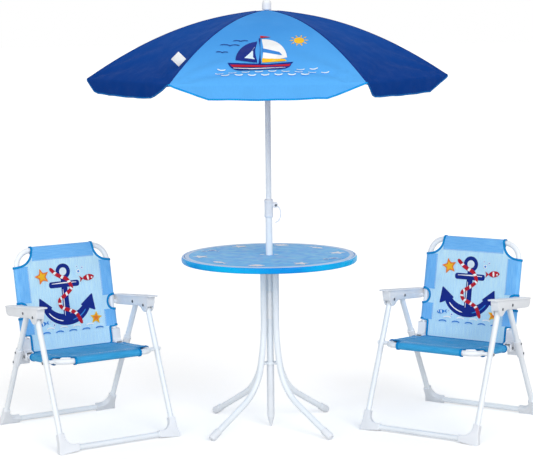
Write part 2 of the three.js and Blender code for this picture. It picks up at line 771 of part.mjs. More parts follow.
function armrest(side) {
  const { legX, frameX, tube, rivet, armPivot, legPivot, backPivot } = CHAIR;
  const { webs, channel, plate: plateHalf, thickness, webDepth, frontY, rearY } = ARM;
  const under = (y) => armTop(y) - thickness;
  const deep = armPivot[1] - webDepth;
  const webOutline = [
    [frontY + 6, under(frontY)],
    [frontY + 9, deep + 36],
    [armPivot[0] - 22.75, deep + 19],
    [armPivot[0] - 12.75, deep + 3],
    [armPivot[0] - 4.75, deep],
    [legPivot[0] + 6, deep],
    [legPivot[0] + 20, deep + 3],
    [legPivot[0] + 44, deep + 10],
    [backPivot[0] - 31, deep + 6],
    [backPivot[0] - 13, deep - 6],
    [backPivot[0] + 13, deep - 8],
    [backPivot[0] + 27, deep],
    [rearY - 4, deep + 12],
    [rearY - 4, under(rearY)],
  ];
  const plateOutline = [
    [frontY, armTop(frontY) - 3],
    [frontY + 4, under(frontY + 4) - 0.5],
    [rearY - 3, under(rearY - 3) - 0.5],
    [rearY, armTop(rearY) - 3],
    [rearY - 2, armTop(rearY - 2) - 0.5],
    [frontY + 3, armTop(frontY + 3) - 0.3],
  ];
  const hollow = [
    [frontY + 12, deep - 13],
    [rearY - 12, deep - 13],
    [rearY - 12, under(rearY - 12)],
    [frontY + 12, under(frontY + 12)],
  ];
  const x = side * legX;
  const shell = carve([
    sidePlate(webOutline, x - webs, x + webs),
    sidePlate(plateOutline, x - plateHalf, x + plateHalf),
  ], [sidePlate(hollow, x - channel, x + channel)]);
  const head = webs + 1.8;
  const boss = (x0, x1, radius) => crossBar(backPivot, side * x0, side * x1, radius);
  return carve([
    shell,
    crossBar(armPivot, x - head, x + head, rivet),
    crossBar(legPivot, x - head, x + head, rivet),
    boss(frameX + tube + GAP, legX - channel - 1, 6),
    boss(frameX - tube - 3, legX - channel - 1, rivet),
    boss(frameX - tube - 3, frameX - tube - GAP, RIVET_HEAD),
  ]);
}

// ---------- chair slings ----------
// Lengths along the panels run from the seat's front pivot and from the back's pivot.
const SLING = {
  cloth: 2,
  pocket: 2.4,
  corner: 40, // left bare at each rounded corner of the seat
  seatRear: 184,
  seatInset: 18, // of the cloth between the knuckles, from the side tubes
  seatPocket: 13, // start of the side pockets, behind the leg rivets
  backCorner: 48,
  backTopPocket: 44,
  backBottom: 70,
  flapBottom: 122, // of the narrower flap between the knuckles
  flapInset: 17,
  notch: 20, // half height of the cut for the armrest's rivet
};

// A cloth panel on a U-shaped tube: a flat sheet in front of the tube, with hem pockets.
function sling(frame, origin, line, sheet, pockets, cuts) {
  const upright = V(0, ...line.aim);
  const normal = V(1, 0, 0).cross(upright);
  const toPanel = new THREE.Matrix4().makeBasis(V(1, 0, 0), upright, normal);
  toPanel.setPosition(0, ...origin);
  const near = CHAIR.tube + GAP;
  const pocket = CHAIR.tube + SLING.pocket;
  const rods = pockets.map(([a, b]) => bar(V(a[0], a[1], 0), V(b[0], b[1], 0), pocket, 8));
  const notches = cuts.map(([x0, x1, s0, s1]) => block(x0, x1, s0, s1, -30, 30));
  const panel = carve([plate(sheet, near, near + SLING.cloth), ...rods], notches);
  return carve([panel.applyMatrix4(toPanel)], [uTube(frame, GAP - 0.02)]);
}

function seatSling() {
  const { frameX, seatFront, seatPivot } = CHAIR;
  const front = seatFront - seatPivot[0];
  const inner = frameX - SLING.corner;
  const rearInner = frameX - SLING.seatInset;
  const pocketEnd = SEAT_CROSS - 8;
  const sheet = mirrored([
    [inner, front],
    [frameX, front + SLING.corner],
    [frameX, pocketEnd],
    [rearInner, pocketEnd + 4],
    [rearInner, SLING.seatRear],
  ]);
  const pockets = [[[-inner, front], [inner, front]]];
  for (const side of SIDES) {
    pockets.push([[side * frameX, SLING.seatPocket], [side * frameX, pocketEnd]]);
  }
  return sling(U_FRAMES.seat, seatPivot, SEAT_LINE, sheet, pockets, []);
}

function backSling() {
  const { frameX, backPivot, backTop } = CHAIR;
  const line = lineThrough(backPivot, onBack(backTop));
  const { backCorner, backTopPocket, backBottom, flapBottom, flapInset, notch } = SLING;
  const top = line.length;
  const inner = frameX - backTopPocket;
  const flap = frameX - flapInset;
  const sheet = mirrored([
    [flap, -flapBottom],
    [flap, -backBottom - 4],
    [frameX, -backBottom],
    [frameX, top - backCorner],
    [inner, top],
  ]);
  const pockets = [[[-inner, top], [inner, top]]];
  for (const side of SIDES) {
    pockets.push([[side * frameX, -backBottom], [side * frameX, top - backCorner]]);
  }
  const cuts = SIDES.map((side) => {
    const [x0, x1] = [side * (frameX - 15), side * (frameX + 30)].sort((a, b) => a - b);
    return [x0, x1, -notch, notch];
  });
  return sling(U_FRAMES.back, backPivot, line, sheet, pockets, cuts);
}

// ---------- chair ----------
const SIDE_NAMES = { '-1': 'right', 1: 'left' }; // as the child sitting in the chair

function chair({ name, x, y, turn }) {
  const group = new THREE.Group();
  group.position.set(x, y, 0);
  group.rotation.z = THREE.MathUtils.degToRad(turn);
  const add = (part, geometry, paint) => group.add(piece(`${name}_chair_${part}`, geometry, paint));
  add('front_frame', frontFrame(), 'whiteSteel');
  add('rear_frame', rearFrame(), 'whiteSteel');
  add('seat_frame', seatFrame(), 'whiteSteel');
  add('back_frame', backFrame(), 'whiteSteel');
  add('seat_sling', seatSling(), 'seatBlue');
  add('back_sling', backSling(), 'backBlue');
  for (const side of SIDES) {
    const hand = SIDE_NAMES[side];
    add(`knuckle_${hand}`, knuckle(side), 'whitePlastic');
    add(`bracket_${hand}`, bracket(side), 'whitePlastic');
    add(`armrest_${hand}`, armrest(side), 'whitePlastic');
    add(`front_shoe_${hand}`, shoe(U_FRAMES.front, FRONT_FOOT, FRONT_LEG, side), 'whitePlastic');
    add(`rear_shoe_${hand}`, shoe(U_FRAMES.rear, CHAIR.rearFoot, REAR_LEG, side), 'whitePlastic');
  }
  return group;
}

const set = new THREE.Group();
set.add(table());
set.add(umbrella());
PLACES.forEach((place) => set.add(chair(place)));
export default set;
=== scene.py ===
# Kids table with a pole umbrella and two folding armchairs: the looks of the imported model.
# Lengths in this file are in millimetres and become metres when a mesh is made.
import json
from math import acos, atan2, cos, hypot, pi, radians, sin, sqrt, tan

import bpy
import numpy as np
from mathutils import Matrix, Vector
from mathutils.geometry import delaunay_2d_cdt


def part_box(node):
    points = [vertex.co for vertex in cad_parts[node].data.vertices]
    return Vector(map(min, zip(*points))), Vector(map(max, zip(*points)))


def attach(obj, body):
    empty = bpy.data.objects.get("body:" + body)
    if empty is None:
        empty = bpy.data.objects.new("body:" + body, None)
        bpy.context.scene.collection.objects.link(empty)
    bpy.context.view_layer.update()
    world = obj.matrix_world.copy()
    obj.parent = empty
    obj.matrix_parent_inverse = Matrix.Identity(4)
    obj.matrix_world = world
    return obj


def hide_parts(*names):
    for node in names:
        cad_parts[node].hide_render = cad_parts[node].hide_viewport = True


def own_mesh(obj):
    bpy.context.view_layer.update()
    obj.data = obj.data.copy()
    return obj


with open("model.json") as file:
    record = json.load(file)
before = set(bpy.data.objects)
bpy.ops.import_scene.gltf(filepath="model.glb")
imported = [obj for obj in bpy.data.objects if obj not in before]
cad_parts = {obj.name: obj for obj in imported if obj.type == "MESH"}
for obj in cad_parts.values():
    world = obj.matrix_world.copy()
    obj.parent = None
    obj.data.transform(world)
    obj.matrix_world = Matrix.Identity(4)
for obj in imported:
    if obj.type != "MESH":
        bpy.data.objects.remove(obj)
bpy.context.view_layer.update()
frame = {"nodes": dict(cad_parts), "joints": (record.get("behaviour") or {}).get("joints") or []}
scene = bpy.context.scene
MM = 0.001
JOINTS = {j["name"]: j for j in frame["joints"]}


def box_mm(node):
    low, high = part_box(node)
    return np.array(low) / MM, np.array(high) / MM


# ---------- sizes, as in the CAD model ----------
RADIUS, TABLE_TOP = box_mm("table_rim")[1][1:]
PANEL_Z = box_mm("table_top")[1][2]
CROWN_Z = box_mm("ferrule_crown")[1][2] - 37
REACH, DROP, CURVE, HOLE = 505, 182, 1.9, 8.2  # canopy: radius, fall, curve of a rib, hole at the pole
PIVOT_R, JOINT_R = 14.5, 165  # ends of a stretcher, from the pole
TUBE, LEG_X, SIDE_X = 8, 172, 143  # chair: radius of its tubes, half widths of its floor and cloth frames
LIGHT, DARK = "light", "dark"
PANELS = [LIGHT, DARK] * 3  # panel k lies between rib k + 1 and the next one
GORE_STEPS = [0, 0.004, 0.012, 0.03, 0.06, 0.1, 0.15, 0.2, 0.25, 0.3, 0.35, 0.4, 0.45, 0.5]


# ---------- materials ----------
def lin(red, green, blue):
    """Scene colour from sRGB bytes."""
    one = lambda c: c / 12.92 if c <= 0.04045 else ((c + 0.055) / 1.055) ** 2.4
    return (one(red / 255), one(green / 255), one(blue / 255), 1)


def shade(color, gain):
    return tuple(min(c * gain, 1) for c in color[:3]) + (1,)


class Nodes:
    """Short ways to add nodes to a tree."""

    def __init__(self, owner):
        owner.use_nodes = True
        self.tree = owner.node_tree

    def feed(self, socket, value):
        """Links a socket to an output, or sets its value."""
        if isinstance(value, bpy.types.NodeSocket):
            self.tree.links.new(value, socket)
        else:
            socket.default_value = value

    def node(self, kind, settings=None, **inputs):
        made = self.tree.nodes.new("ShaderNode" + kind)
        for key, value in (settings or {}).items():
            setattr(made, key, value)
        for key, value in inputs.items():
            self.feed(made.inputs[int(key[1:]) if key[1:].isdigit() else key.replace("_", " ")], value)
        return made

    def math(self, operation, a, b=0.0):
        return self.node("Math", {"operation": operation}, i0=a, i1=b).outputs[0]

    def seen(self):
        """1 for the rays that show the background: to the camera, and by reflection or through glass."""
        path = self.node("LightPath").outputs
        mirrored = self.math("MAXIMUM", path["Is Camera Ray"], path["Is Glossy Ray"])
        return self.math("MAXIMUM", mirrored, path["Is Transmission Ray"])

    def coords(self, kind="Object", scale=None):
        place = self.node("TexCoord").outputs[kind]
        return self.node("Mapping", Vector=place, Scale=scale).outputs[0] if scale else place

    def noise(self, scale, detail=2.0, roughness=0.5, where=None):
        return self.node("TexNoise", Vector=where or self.coords(), Scale=scale, Detail=detail,
                         Roughness=roughness).outputs[0]

    def ramp(self, value, low, high, a=0.0, b=1.0):
        return self.node("MapRange", {"interpolation_type": "SMOOTHSTEP"}, Value=value, From_Min=low,
                         From_Max=high, To_Min=a, To_Max=b).outputs[0]

    def mix(self, factor, a, b):
        return self.node("Mix", {"data_type": "RGBA"}, i0=factor, i6=a, i7=b).outputs[2]

    def patches(self, a, b, scale, detail=3, low=0.3, high=0.7, most=1, roughness=0.5, where=None):
        """Colour a, with cloudy patches of colour b."""
        return self.mix(self.ramp(self.noise(scale, detail, roughness, where), low, high, 0, most), a, b)


class Shader(Nodes):
    """A Principled material, with the nodes that cloth and worn surfaces share."""

    def __init__(self, name, color, roughness=0.5, **sockets):
        self.material = bpy.data.materials.new(name)
        super().__init__(self.material)
        self.material.diffuse_color = color
        self.out = self.tree.nodes["Principled BSDF"].inputs
        for key, value in {"Base Color": color, "Roughness": roughness, **sockets}.items():
            self.feed(self.out[key.replace("_", " ")], value)

    def sine(self, pitch, axis=0):
        """Waves across the cloth, with that pitch in mm."""
        place = self.node("SeparateXYZ", Vector=self.coords("UV")).outputs[axis]
        return self.math("SINE", self.math("MULTIPLY", place, 2 * pi / (pitch * MM)))

    def threads(self, pitch):
        """Height of thick round threads that cross with that pitch in mm."""
        warp, weft = (self.math("ABSOLUTE", self.sine(2 * pitch, axis)) for axis in (0, 1))
        return self.math("MAXIMUM", warp, weft)

    def done(self, color, rough, *layers):
        """The material, with a colour, noise (scale, detail, low, high) for roughness, and bump layers
        (height or noise (scale, detail), distance in mm, strength)."""
        self.feed(self.out["Base Color"], color)
        self.feed(self.out["Roughness"], self.ramp(self.noise(*rough[:2]), 0.3, 0.7, *rough[2:]))
        normal = None
        for height, distance, strength in layers:
            height = self.noise(*height) if isinstance(height, tuple) else height
            below = {"Normal": normal} if normal else {}
            normal = self.node("Bump", Height=height, Distance=distance * MM, Strength=strength,
                               **below).outputs[0]
        self.feed(self.out["Normal"], normal)
        return self.material


def powder_coat(name, color):
    s = Shader(name, color, 0.34, Specular_IOR_Level=0.5, Coat_Weight=0.25, Coat_Roughness=0.25)
    scuff = s.math("MULTIPLY", s.ramp(s.noise(70, 6, 0.75), 0.66, 0.74), 0.22)
    tone = s.mix(scuff, s.patches(shade(color, 0.94), color, 9), lin(186, 190, 194))
    return s.done(tone, (45, 4, 0.28, 0.44), ((650, 2), 0.12, 0.25), ((120, 2), 0.1, 0.12))


def moulded(name, color, roughness=0.5, grain=0.3):
    s = Shader(name, color, roughness, Specular_IOR_Level=0.45)
    tone = s.patches(shade(color, 0.93), color, 14)
    tone = s.patches(tone, shade(color, 0.72), 55, 6, 0.62, 0.76, 0.14, 0.7)
    return s.done(tone, (60, 4, roughness - 0.07, roughness + 0.1), ((1500, 2), 0.08, grain),
                  ((220, 3), 0.12, 0.12))


def gloss_rim(name, color, bright):
    s = Shader(name, color, 0.34, Specular_IOR_Level=0.1, Coat_Weight=0.05, Coat_Roughness=0.16)
    return s.done(s.patches(color, bright, 5, 2, 0.35, 0.65), (40, 5, 0.22, 0.38),
                  ((900, 2), 0.06, 0.2), ((30, 2), 0.5, 0.1))


def rippled_print(name):
    """Printed water with a net of darker ripples under a satin film."""
    s = Shader(name, lin(106, 206, 255), 0.4, Specular_IOR_Level=0.2, Coat_Weight=0.04, Coat_Roughness=0.3)
    where = s.coords(scale=(1.0, 2.1, 1.0))
    warp = s.node("TexNoise", Vector=where, Scale=9.0, Detail=2.0).outputs["Color"]
    bent = s.node("VectorMath", {"operation": "MULTIPLY_ADD"}, i0=warp, i1=(0.06, 0.06, 0.0), i2=where)
    net = s.node("TexVoronoi", {"feature": "DISTANCE_TO_EDGE"}, Vector=bent.outputs[0], Scale=17.0)
    line = s.math("MULTIPLY", s.ramp(net.outputs["Distance"], 0.02, 0.16, 1, 0), 0.5)
    water = s.patches(lin(84, 196, 255), lin(118, 214, 255), 22, 3, 0.4, 0.68, where=where)
    return s.done(s.mix(line, water, lin(54, 168, 250)), (50, 4, 0.34, 0.5), ((1300, 2), 0.05, 0.2))


def polyester(name, color, painted_lower_light_shade_and_patches):
    """Coated umbrella cloth: a fine close weave, and a second tone painted on its lower part: painted light
    coming through the light blue cloth, painted shade on the navy. The same tone also gives cloudy patches.
    """
    s = Shader(name, color, 0.72, Specular_IOR_Level=0.03)
    height = s.node("SeparateXYZ", Vector=s.coords()).outputs[2]
    # Painted light and shade: from 1.16 m down to 0.97 m height the cloth turns to its second tone.
    tone = s.mix(s.ramp(height, 1.16, 0.97), color, painted_lower_light_shade_and_patches)
    tone = s.patches(tone, shade(color, 0.88), 60, most=0.1, where=s.coords("UV", (9.0, 1.0, 1.0)))
    weave = s.math("MULTIPLY_ADD", s.sine(0.9), s.sine(0.9, 1))
    return s.done(s.patches(tone, painted_lower_light_shade_and_patches, 6, 3, 0.45, 0.75, 0.3), (30, 3, 0.64, 0.8),
                  (weave, 0.09, 0.35), ((26, 3), 1.1, 0.22))


def mesh_weave(name, color, thread):
    """Coated mesh cloth: thick round threads, with painted shade in the small gaps between them."""
    s = Shader(name, color, 0.6, Sheen_Weight=0.03, Specular_IOR_Level=0.18)
    height = s.threads(1.5)
    tone = s.patches(color, thread, 26, where=s.coords("UV", (14.0, 1.0, 1.0)))
    tone = s.patches(tone, shade(color, 0.9), 11, 3, 0.4, 0.7, 0.35)
    # Painted shade: the low places between the threads are darkened.
    return s.done(s.mix(s.ramp(height, 0.35, 0.6, 0.55, 0), tone, shade(color, 0.55)),
                  (40, 3, 0.48, 0.66), (height, 0.35, 0.45), ((34, 2), 0.8, 0.15))


def printed(name, color, pitch=1.5):
    """Screen ink on cloth, with the weave showing through it and painted shade in the gaps between its
    threads.
    """
    s = Shader(name, color, 0.62, Specular_IOR_Level=0.12)
    height = s.threads(pitch)
    tone = s.patches(shade(color, 0.88), color, 25)
    # Painted shade: the low places between the threads are darkened.
    tone = s.mix(s.ramp(height, 0.35, 0.6, 0.3, 0), tone, shade(color, 0.6))
    return s.done(s.patches(tone, shade(color, 1.25), 300, 3, 0.6, 0.75, 0.25), (50, 3, 0.5, 0.66),
                  (height, 0.25, 0.35))


def panel_ink(name, color):
    """Smooth ink on the table's printed panel."""
    s = Shader(name, color, 0.4, Specular_IOR_Level=0.3)
    return s.done(s.patches(shade(color, 0.95), color, 120, 3, 0.35), (60, 3, 0.34, 0.48),
                  ((220, 3), 0.05, 0.2))


def tape(name, color):
    """Ribbed binding tape with a row of stitches."""
    s = Shader(name, color, 0.64, Specular_IOR_Level=0.05)
    across = s.node("SeparateXYZ", Vector=s.coords("UV")).outputs[1]
    row = s.ramp(s.math("ABSOLUTE", across), 0.0005, 0.0009, 1, 0)
    stitch = s.math("MULTIPLY", s.ramp(s.sine(4.6), -0.2, 0.1), row)
    tone = s.patches(shade(color, 0.82), color, 35)
    return s.done(s.mix(s.math("MULTIPLY", stitch, 0.75), tone, shade(color, 2.2)), (60, 3, 0.52, 0.7),
                  (s.sine(1.1), 0.12, 0.4), (stitch, 0.3, 0.5))


def dark_steel(name):
    s = Shader(name, lin(96, 101, 108), 0.32, Metallic=0.85)
    return s.done(s.patches(lin(70, 75, 82), lin(132, 137, 144), 160, 4), (300, 3, 0.22, 0.45),
                  ((500, 3), 0.1, 0.3))


STEEL = powder_coat("white_powder_coat", lin(240, 246, 252))
PLASTIC = moulded("white_moulding", lin(236, 240, 246))
FERRULE = moulded("ferrule_white", lin(246, 248, 250), 0.38, 0.15)
RIM = gloss_rim("azure_rim", lin(0, 142, 230), lin(0, 192, 248))
# Pale colour: a painted highlight on the rim's top, and on the panel's edge a print border that also stands
# for that highlight.
RIM_HIGHLIGHT_AND_BORDER = moulded("painted_rim_highlight_and_border", lin(206, 230, 255), 0.44, 0.15)
WATER = rippled_print("rippled_water_print")
# Second colour of each cloth: painted light towards the light blue hem, painted shade towards the navy hem,
# also used for cloudy patches.
CLOTH = {
    LIGHT: polyester("canopy_light_blue", lin(70, 152, 229), lin(92, 177, 248)),
    DARK: polyester("canopy_navy", lin(18, 76, 160), lin(6, 58, 138)),
}
SEAM = tape("navy_seam", lin(12, 50, 130))
AZURE = tape("azure_binding", lin(14, 134, 206))
HEM = {LIGHT: tape("azure_hem", lin(12, 146, 232)), DARK: tape("teal_hem", lin(14, 96, 168))}
SEAT = mesh_weave("seat_azure_mesh", lin(42, 154, 214), lin(70, 172, 228))
BACK = mesh_weave("back_pale_mesh", lin(181, 226, 254), lin(204, 240, 255))
BAND = mesh_weave("back_hem_mesh", lin(104, 180, 246), lin(128, 197, 252))
THREAD = printed("thread_white", lin(226, 238, 248), 0.8)
RIVET = dark_steel("dark_rivet")
LABEL = printed("blank_label", lin(240, 242, 244), 0.6)
INK = {name: printed("ink_" + name, lin(*color)) for name, color in {
    "navy": (16, 42, 136), "red": (190, 30, 50), "white": (252, 253, 255), "sun": (250, 196, 44),
    "orange": (244, 132, 52), "sky": (56, 138, 222), "foam": (226, 244, 255),
}.items()}
PANEL_INK = {name: panel_ink("panel_" + name, lin(*color)) for name, color in {
    "white": (255, 255, 255), "sky": (40, 128, 222), "foam": (206, 236, 255)}.items()}


# ---------- mesh helpers ----------
def unit(v):
    v = np.asarray(v, float)
    return v / np.maximum(np.linalg.norm(v, axis=-1, keepdims=True), 1e-12)


def joined(parts):
    """One (points, faces, uv) from several, with uv only if each part has it."""
    faces, start = [], 0
    for part in parts:
        faces += [tuple(i + start for i in face) for face in part[1]]
        start += len(part[0])
    uv = np.vstack([part[2] for part in parts]) if all(len(part) > 2 for part in parts) else None
    return np.vstack([part[0] for part in parts]), faces, uv


def add_mesh(name, parts, mats, body, cad_slot, place=None, instead=None, kinds=None, edge=40, normals=None):
    """A smooth mesh of one (points, faces, uv) part, or a list of parts, riding a body. place is
    (rotation, offset in mm), and instead is the CAD node that the mesh replaces."""
    co, faces, uv = (*(joined(parts) if isinstance(parts, list) else parts), None)[:3]
    if place:
        co = co @ place[0].T + place[1]
    mesh = bpy.data.meshes.new(name)
    mesh.from_pydata((co * MM).tolist(), [], [tuple(int(i) for i in f) for f in faces])
    for material in mats if isinstance(mats, list) else [mats]:
        mesh.materials.append(material)
    if kinds is not None:
        mesh.polygons.foreach_set("material_index", np.asarray(kinds, np.int32))
    if uv is not None:
        corner = np.empty(len(mesh.loops), np.int32)
        mesh.loops.foreach_get("vertex_index", corner)
        layer = mesh.uv_layers.new(name="UVMap")
        layer.data.foreach_set("uv", (uv[corner] * MM).astype(np.float32).ravel())
    mesh.update()
    mesh.shade_smooth()
    mesh.set_sharp_from_angle(angle=radians(edge))
    if normals is not None:
        mesh.normals_split_custom_set_from_vertices(normals.tolist())
    obj = bpy.data.objects.new(name, mesh)
    scene.collection.objects.link(obj)
    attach(obj, body)
    if instead:
        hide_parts(instead)
    return obj


def grid_faces(rows, cols, wrap=False):
    last = cols if wrap else cols - 1
    return [(r * cols + c, r * cols + (c + 1) % cols, (r + 1) * cols + (c + 1) % cols, (r + 1) * cols + c)
            for r in range(rows - 1) for c in range(last)]


def closed_pair(rows, cols):
    """Faces of two matching grids, joined round their border."""
    n, end = rows * cols, (rows - 1) * cols
    quads = grid_faces(rows, cols)
    faces = flipped(quads) + [tuple(i + n for i in q) for q in quads]
    border = [*range(cols), *range(2 * cols - 1, end + cols, cols), *range(end + cols - 2, end - 1, -1),
              *range(end - cols, 0, -cols)]
    return faces + [(a, b, b + n, a + n) for a, b in zip(border, border[1:] + border[:1])]


def flipped(faces):
    return [f[::-1] for f in faces]


def about_z(turn):
    """The place of a piece that is turned about the pole."""
    return np.array(Matrix.Rotation(turn, 3, "Z")), np.zeros(3)


def polar(r, turn, *z):
    return (r * cos(turn), r * sin(turn), *z)


def run_length(points):
    """Distance along a line, or along each column of a grid of points."""
    steps = np.linalg.norm(np.diff(points, axis=0), axis=-1)
    return np.concatenate([np.zeros_like(steps[:1]), np.cumsum(steps, axis=0)])


def tangents(points):
    return unit(np.gradient(np.asarray(points, float), axis=0))


def swept(points, section, normals=None, scale=1):
    """A closed bar: a section of (across, out) points carried along a line, with flat ends."""
    p, section = np.asarray(points, float), np.asarray(section, float)
    t = tangents(p)
    if normals is None:
        guess = np.array([0, 0, 1.0] if abs(t[0][2]) < 0.9 else [1.0, 0, 0])
        out = [unit(guess - t[0] * guess.dot(t[0]))]
        for i in range(1, len(p)):
            out.append(unit(out[-1] - t[i] * out[-1].dot(t[i])))
        out = np.array(out)
    else:
        out = unit(normals - t * (normals * t).sum(1, keepdims=True))
    side = np.cross(t, out)
    scale = np.broadcast_to(scale, len(p))
    rings = [p[i] + scale[i] * (section[:, :1] * side[i] + section[:, 1:] * out[i]) for i in range(len(p))]
    n, count = len(section), len(p) * len(section)
    faces = flipped(grid_faces(len(p), n, True))
    faces += [(count, k, (k + 1) % n) for k in range(n)]
    faces += [(count + 1, count - n + (k + 1) % n, count - n + k) for k in range(n)]
    uv = np.column_stack([np.repeat(run_length(p), n), np.tile(section[:, 0], len(p))])
    return np.vstack(rings + [p[:1], p[-1:]]), faces, np.vstack([uv, np.zeros((2, 2))])


def circle(radius, sides=20):
    return np.array([polar(radius, a) for a in np.arange(sides) / sides * 2 * pi])


def flat_section(half, thick):
    """A tape's section: half width and half thickness, with rounded edges."""
    quarter = [(half, thick * 0.4), (half * 0.9, thick), (-half * 0.9, thick), (-half, thick * 0.4)]
    return quarter + [(-a, -b) for a, b in quarter]


def bent_line(corners, bends, steps=12):
    """Points of a bent tube's centre line: straight runs and a round bend at each inner corner."""
    c = [np.asarray(p, float) for p in corners]
    points = [c[0]]
    for i, bend in enumerate(np.broadcast_to(bends, len(c) - 2), 1):
        before, after = unit(c[i - 1] - c[i]), unit(c[i + 1] - c[i])
        half = acos(np.clip(before.dot(after), -1, 1)) / 2
        centre = c[i] + unit(before + after) * bend / sin(half)
        start = c[i] + before * bend / tan(half)
        axis = Vector(unit(np.cross(-before, after)))
        for k in range(steps + 1):
            turn = np.array(Matrix.Rotation(k / steps * (pi - 2 * half), 3, axis))
            points.append(centre + turn @ (start - centre))
    return dense(points + [c[-1]])


def dense(points, step=24):
    """The same line with no run longer than the step."""
    out = [np.asarray(points[0], float)]
    for q in points[1:]:
        p, q = out[-1], np.asarray(q, float)
        n = max(1, int(np.linalg.norm(q - p) / step))
        out += [p + (q - p) * k / n for k in range(1, n + 1)]
    return np.array(out)


def tube(points, radius, sides=22, ease=0.9):
    """A round bar with softened ends."""
    p = np.asarray(points, float)
    a, b = unit(p[1] - p[0]) * ease, unit(p[-2] - p[-1]) * ease
    p = np.vstack([p[0], p[0] + a * 0.3, p[0] + a, p[1:-1], p[-1] + b, p[-1] + b * 0.3, p[-1]])
    scale = np.ones(len(p))
    scale[[0, -1]] = 1 - ease / radius
    scale[[1, -2]] = 1 - ease * 0.3 / radius
    return swept(p, circle(radius, sides), scale=scale)


def pin(x0, x1, at, radius, sides=20, ease=0.5):
    """A straight bar across the chair."""
    return tube([(x, *at) for x in (x0, (x0 + x1) / 2, x1)], radius, sides, ease)


def rect(x0, x1, y0, y1):
    return [(x0, y0), (x1, y0), (x1, y1), (x0, y1)]


def rounded(profile, radius, steps=3, closed=True):
    """A profile with its corners rounded."""
    p = [np.asarray(q, float) for q in profile]
    out = []
    for i, corner in enumerate(p):
        if not closed and i in (0, len(p) - 1):
            out.append(corner)
            continue
        a, b = p[i - 1] - corner, p[(i + 1) % len(p)] - corner
        la, lb = np.linalg.norm(a), np.linalg.norm(b)
        d = min(radius, la * 0.45, lb * 0.45)
        start, end = corner + a / la * d, corner + b / lb * d
        out += [(1 - t) ** 2 * start + 2 * t * (1 - t) * corner + t * t * end
                for t in np.arange(steps + 1) / steps]
    return out


def lathe(profile, sides=96, closed=True):
    """A turned shape about Z. A point on the axis becomes one vertex."""
    verts, rings, faces = [], [], []
    angles = np.arange(sides) / sides * 2 * pi
    for r, z in profile:
        on_axis = r < 1e-6
        rings.append([len(verts)] * sides if on_axis else [len(verts) + k for k in range(sides)])
        verts += [(0, 0, z)] if on_axis else [polar(r, a, z) for a in angles]
    for a, b in zip(rings, rings[1:] + rings[:1] if closed else rings[1:]):
        for k in range(sides):
            m = (k + 1) % sides
            face = tuple(dict.fromkeys([a[k], a[m], b[m], b[k]]))
            if len(face) > 2:
                faces.append(face)
    return np.array(verts, float), faces


def collar(inner, outer, low, high, soft, sides):
    """A turned ring with a rectangular section and softened edges."""
    return lathe(rounded(rect(inner, outer, low, high), soft), sides)


def plug(profile, soft, sides):
    """A turned part whose profile starts and ends on the axis."""
    soft_profile = rounded(profile, soft)
    soft_profile[0], soft_profile[-1] = profile[0], profile[-1]
    return lathe([(max(r, 0), z) for r, z in soft_profile], sides, closed=False)


def aimed(part, origin, axis):
    """A part drawn about Z, turned so that Z lies along the axis, and moved to the origin."""
    turn = np.array(Vector((0, 0, 1)).rotation_difference(Vector(unit(axis))).to_matrix())
    return part[0] @ turn.T + origin, part[1]


def slab(outline, low, high, edge=0.8, steps=2):
    """A plate from a flat outline of (a, b) points, as (a, b, height) with rounded rims."""
    flat = np.asarray(outline, float)
    last, after = np.roll(flat, 1, 0), np.roll(flat, -1, 0)
    way = np.sign(sum(last[:, 0] * flat[:, 1] - flat[:, 0] * last[:, 1]))
    along = unit(flat - last) + unit(after - flat)
    inward = unit(np.column_stack([-along[:, 1], along[:, 0]])) * way
    turn = np.linspace(0, pi / 2, steps + 1)
    rings = list(zip(edge * (1 - np.sin(turn)), low + edge * (1 - np.cos(turn))))
    rings += [(inset, low + high - z) for inset, z in rings[::-1]]
    n = len(flat)
    verts = np.vstack([np.column_stack([flat + inward * inset, np.full(n, z)]) for inset, z in rings])
    ends = [tuple(range(n))[::-1], tuple(range(len(verts) - n, len(verts)))]
    faces = grid_faces(len(rings), n, True) + ends
    return verts, faces if way > 0 else flipped(faces)


def dome(radius, height, rim=0.6, sides=20):
    """A domed rivet head standing on z 0."""
    rise = [(radius * cos(a), rim + (height - rim) * sin(a)) for a in np.linspace(0, pi / 2, 6)]
    return lathe([(0, 0), (radius, 0), *rise[:-1], (0, height)], sides)


def mould(node, material, bevel=0.7):
    """Softens the edges of a moulded CAD node and gives it its finish."""
    obj = frame["nodes"][node]
    obj.data.materials.clear()
    obj.data.materials.append(material)
    steps = {
        "WELD": {"merge_threshold": 0.00002},
        "DECIMATE": {"decimate_type": "DISSOLVE", "angle_limit": radians(1.5)},
        "BEVEL": {"width": bevel * MM, "segments": 2, "limit_method": "ANGLE",
                  "angle_limit": radians(28), "harden_normals": True},
    }
    for kind, settings in steps.items():
        step = obj.modifiers.new(kind.lower(), kind)
        for key, value in settings.items():
            setattr(step, key, value)


# ---------- prints: flat shapes laid on a curved surface ----------
def filled(outline, step=9.0):
    """Triangles that fill an outline, fine enough to follow a curved surface."""
    ring = [Vector((float(a), float(b))) for a, b in outline]
    low, high = np.min(outline, 0), np.max(outline, 0)
    inside = [Vector((a, b)) for a in np.arange(low[0] + step / 2, high[0], step)
              for b in np.arange(low[1] + step / 2, high[1], step)]
    found = delaunay_2d_cdt(ring + inside, [], [list(range(len(ring)))], 1, 0.01)
    verts = np.array([(v.x, v.y) for v in found[0]])
    faces = []
    for f in found[2]:
        a, b, c = (verts[i] for i in f[:3])
        area = (b[0] - a[0]) * (c[1] - a[1]) - (c[0] - a[0]) * (b[1] - a[1])
        if abs(area) > 1e-4:
            faces.append(tuple(f) if area > 0 else tuple(f)[::-1])
    return verts, faces


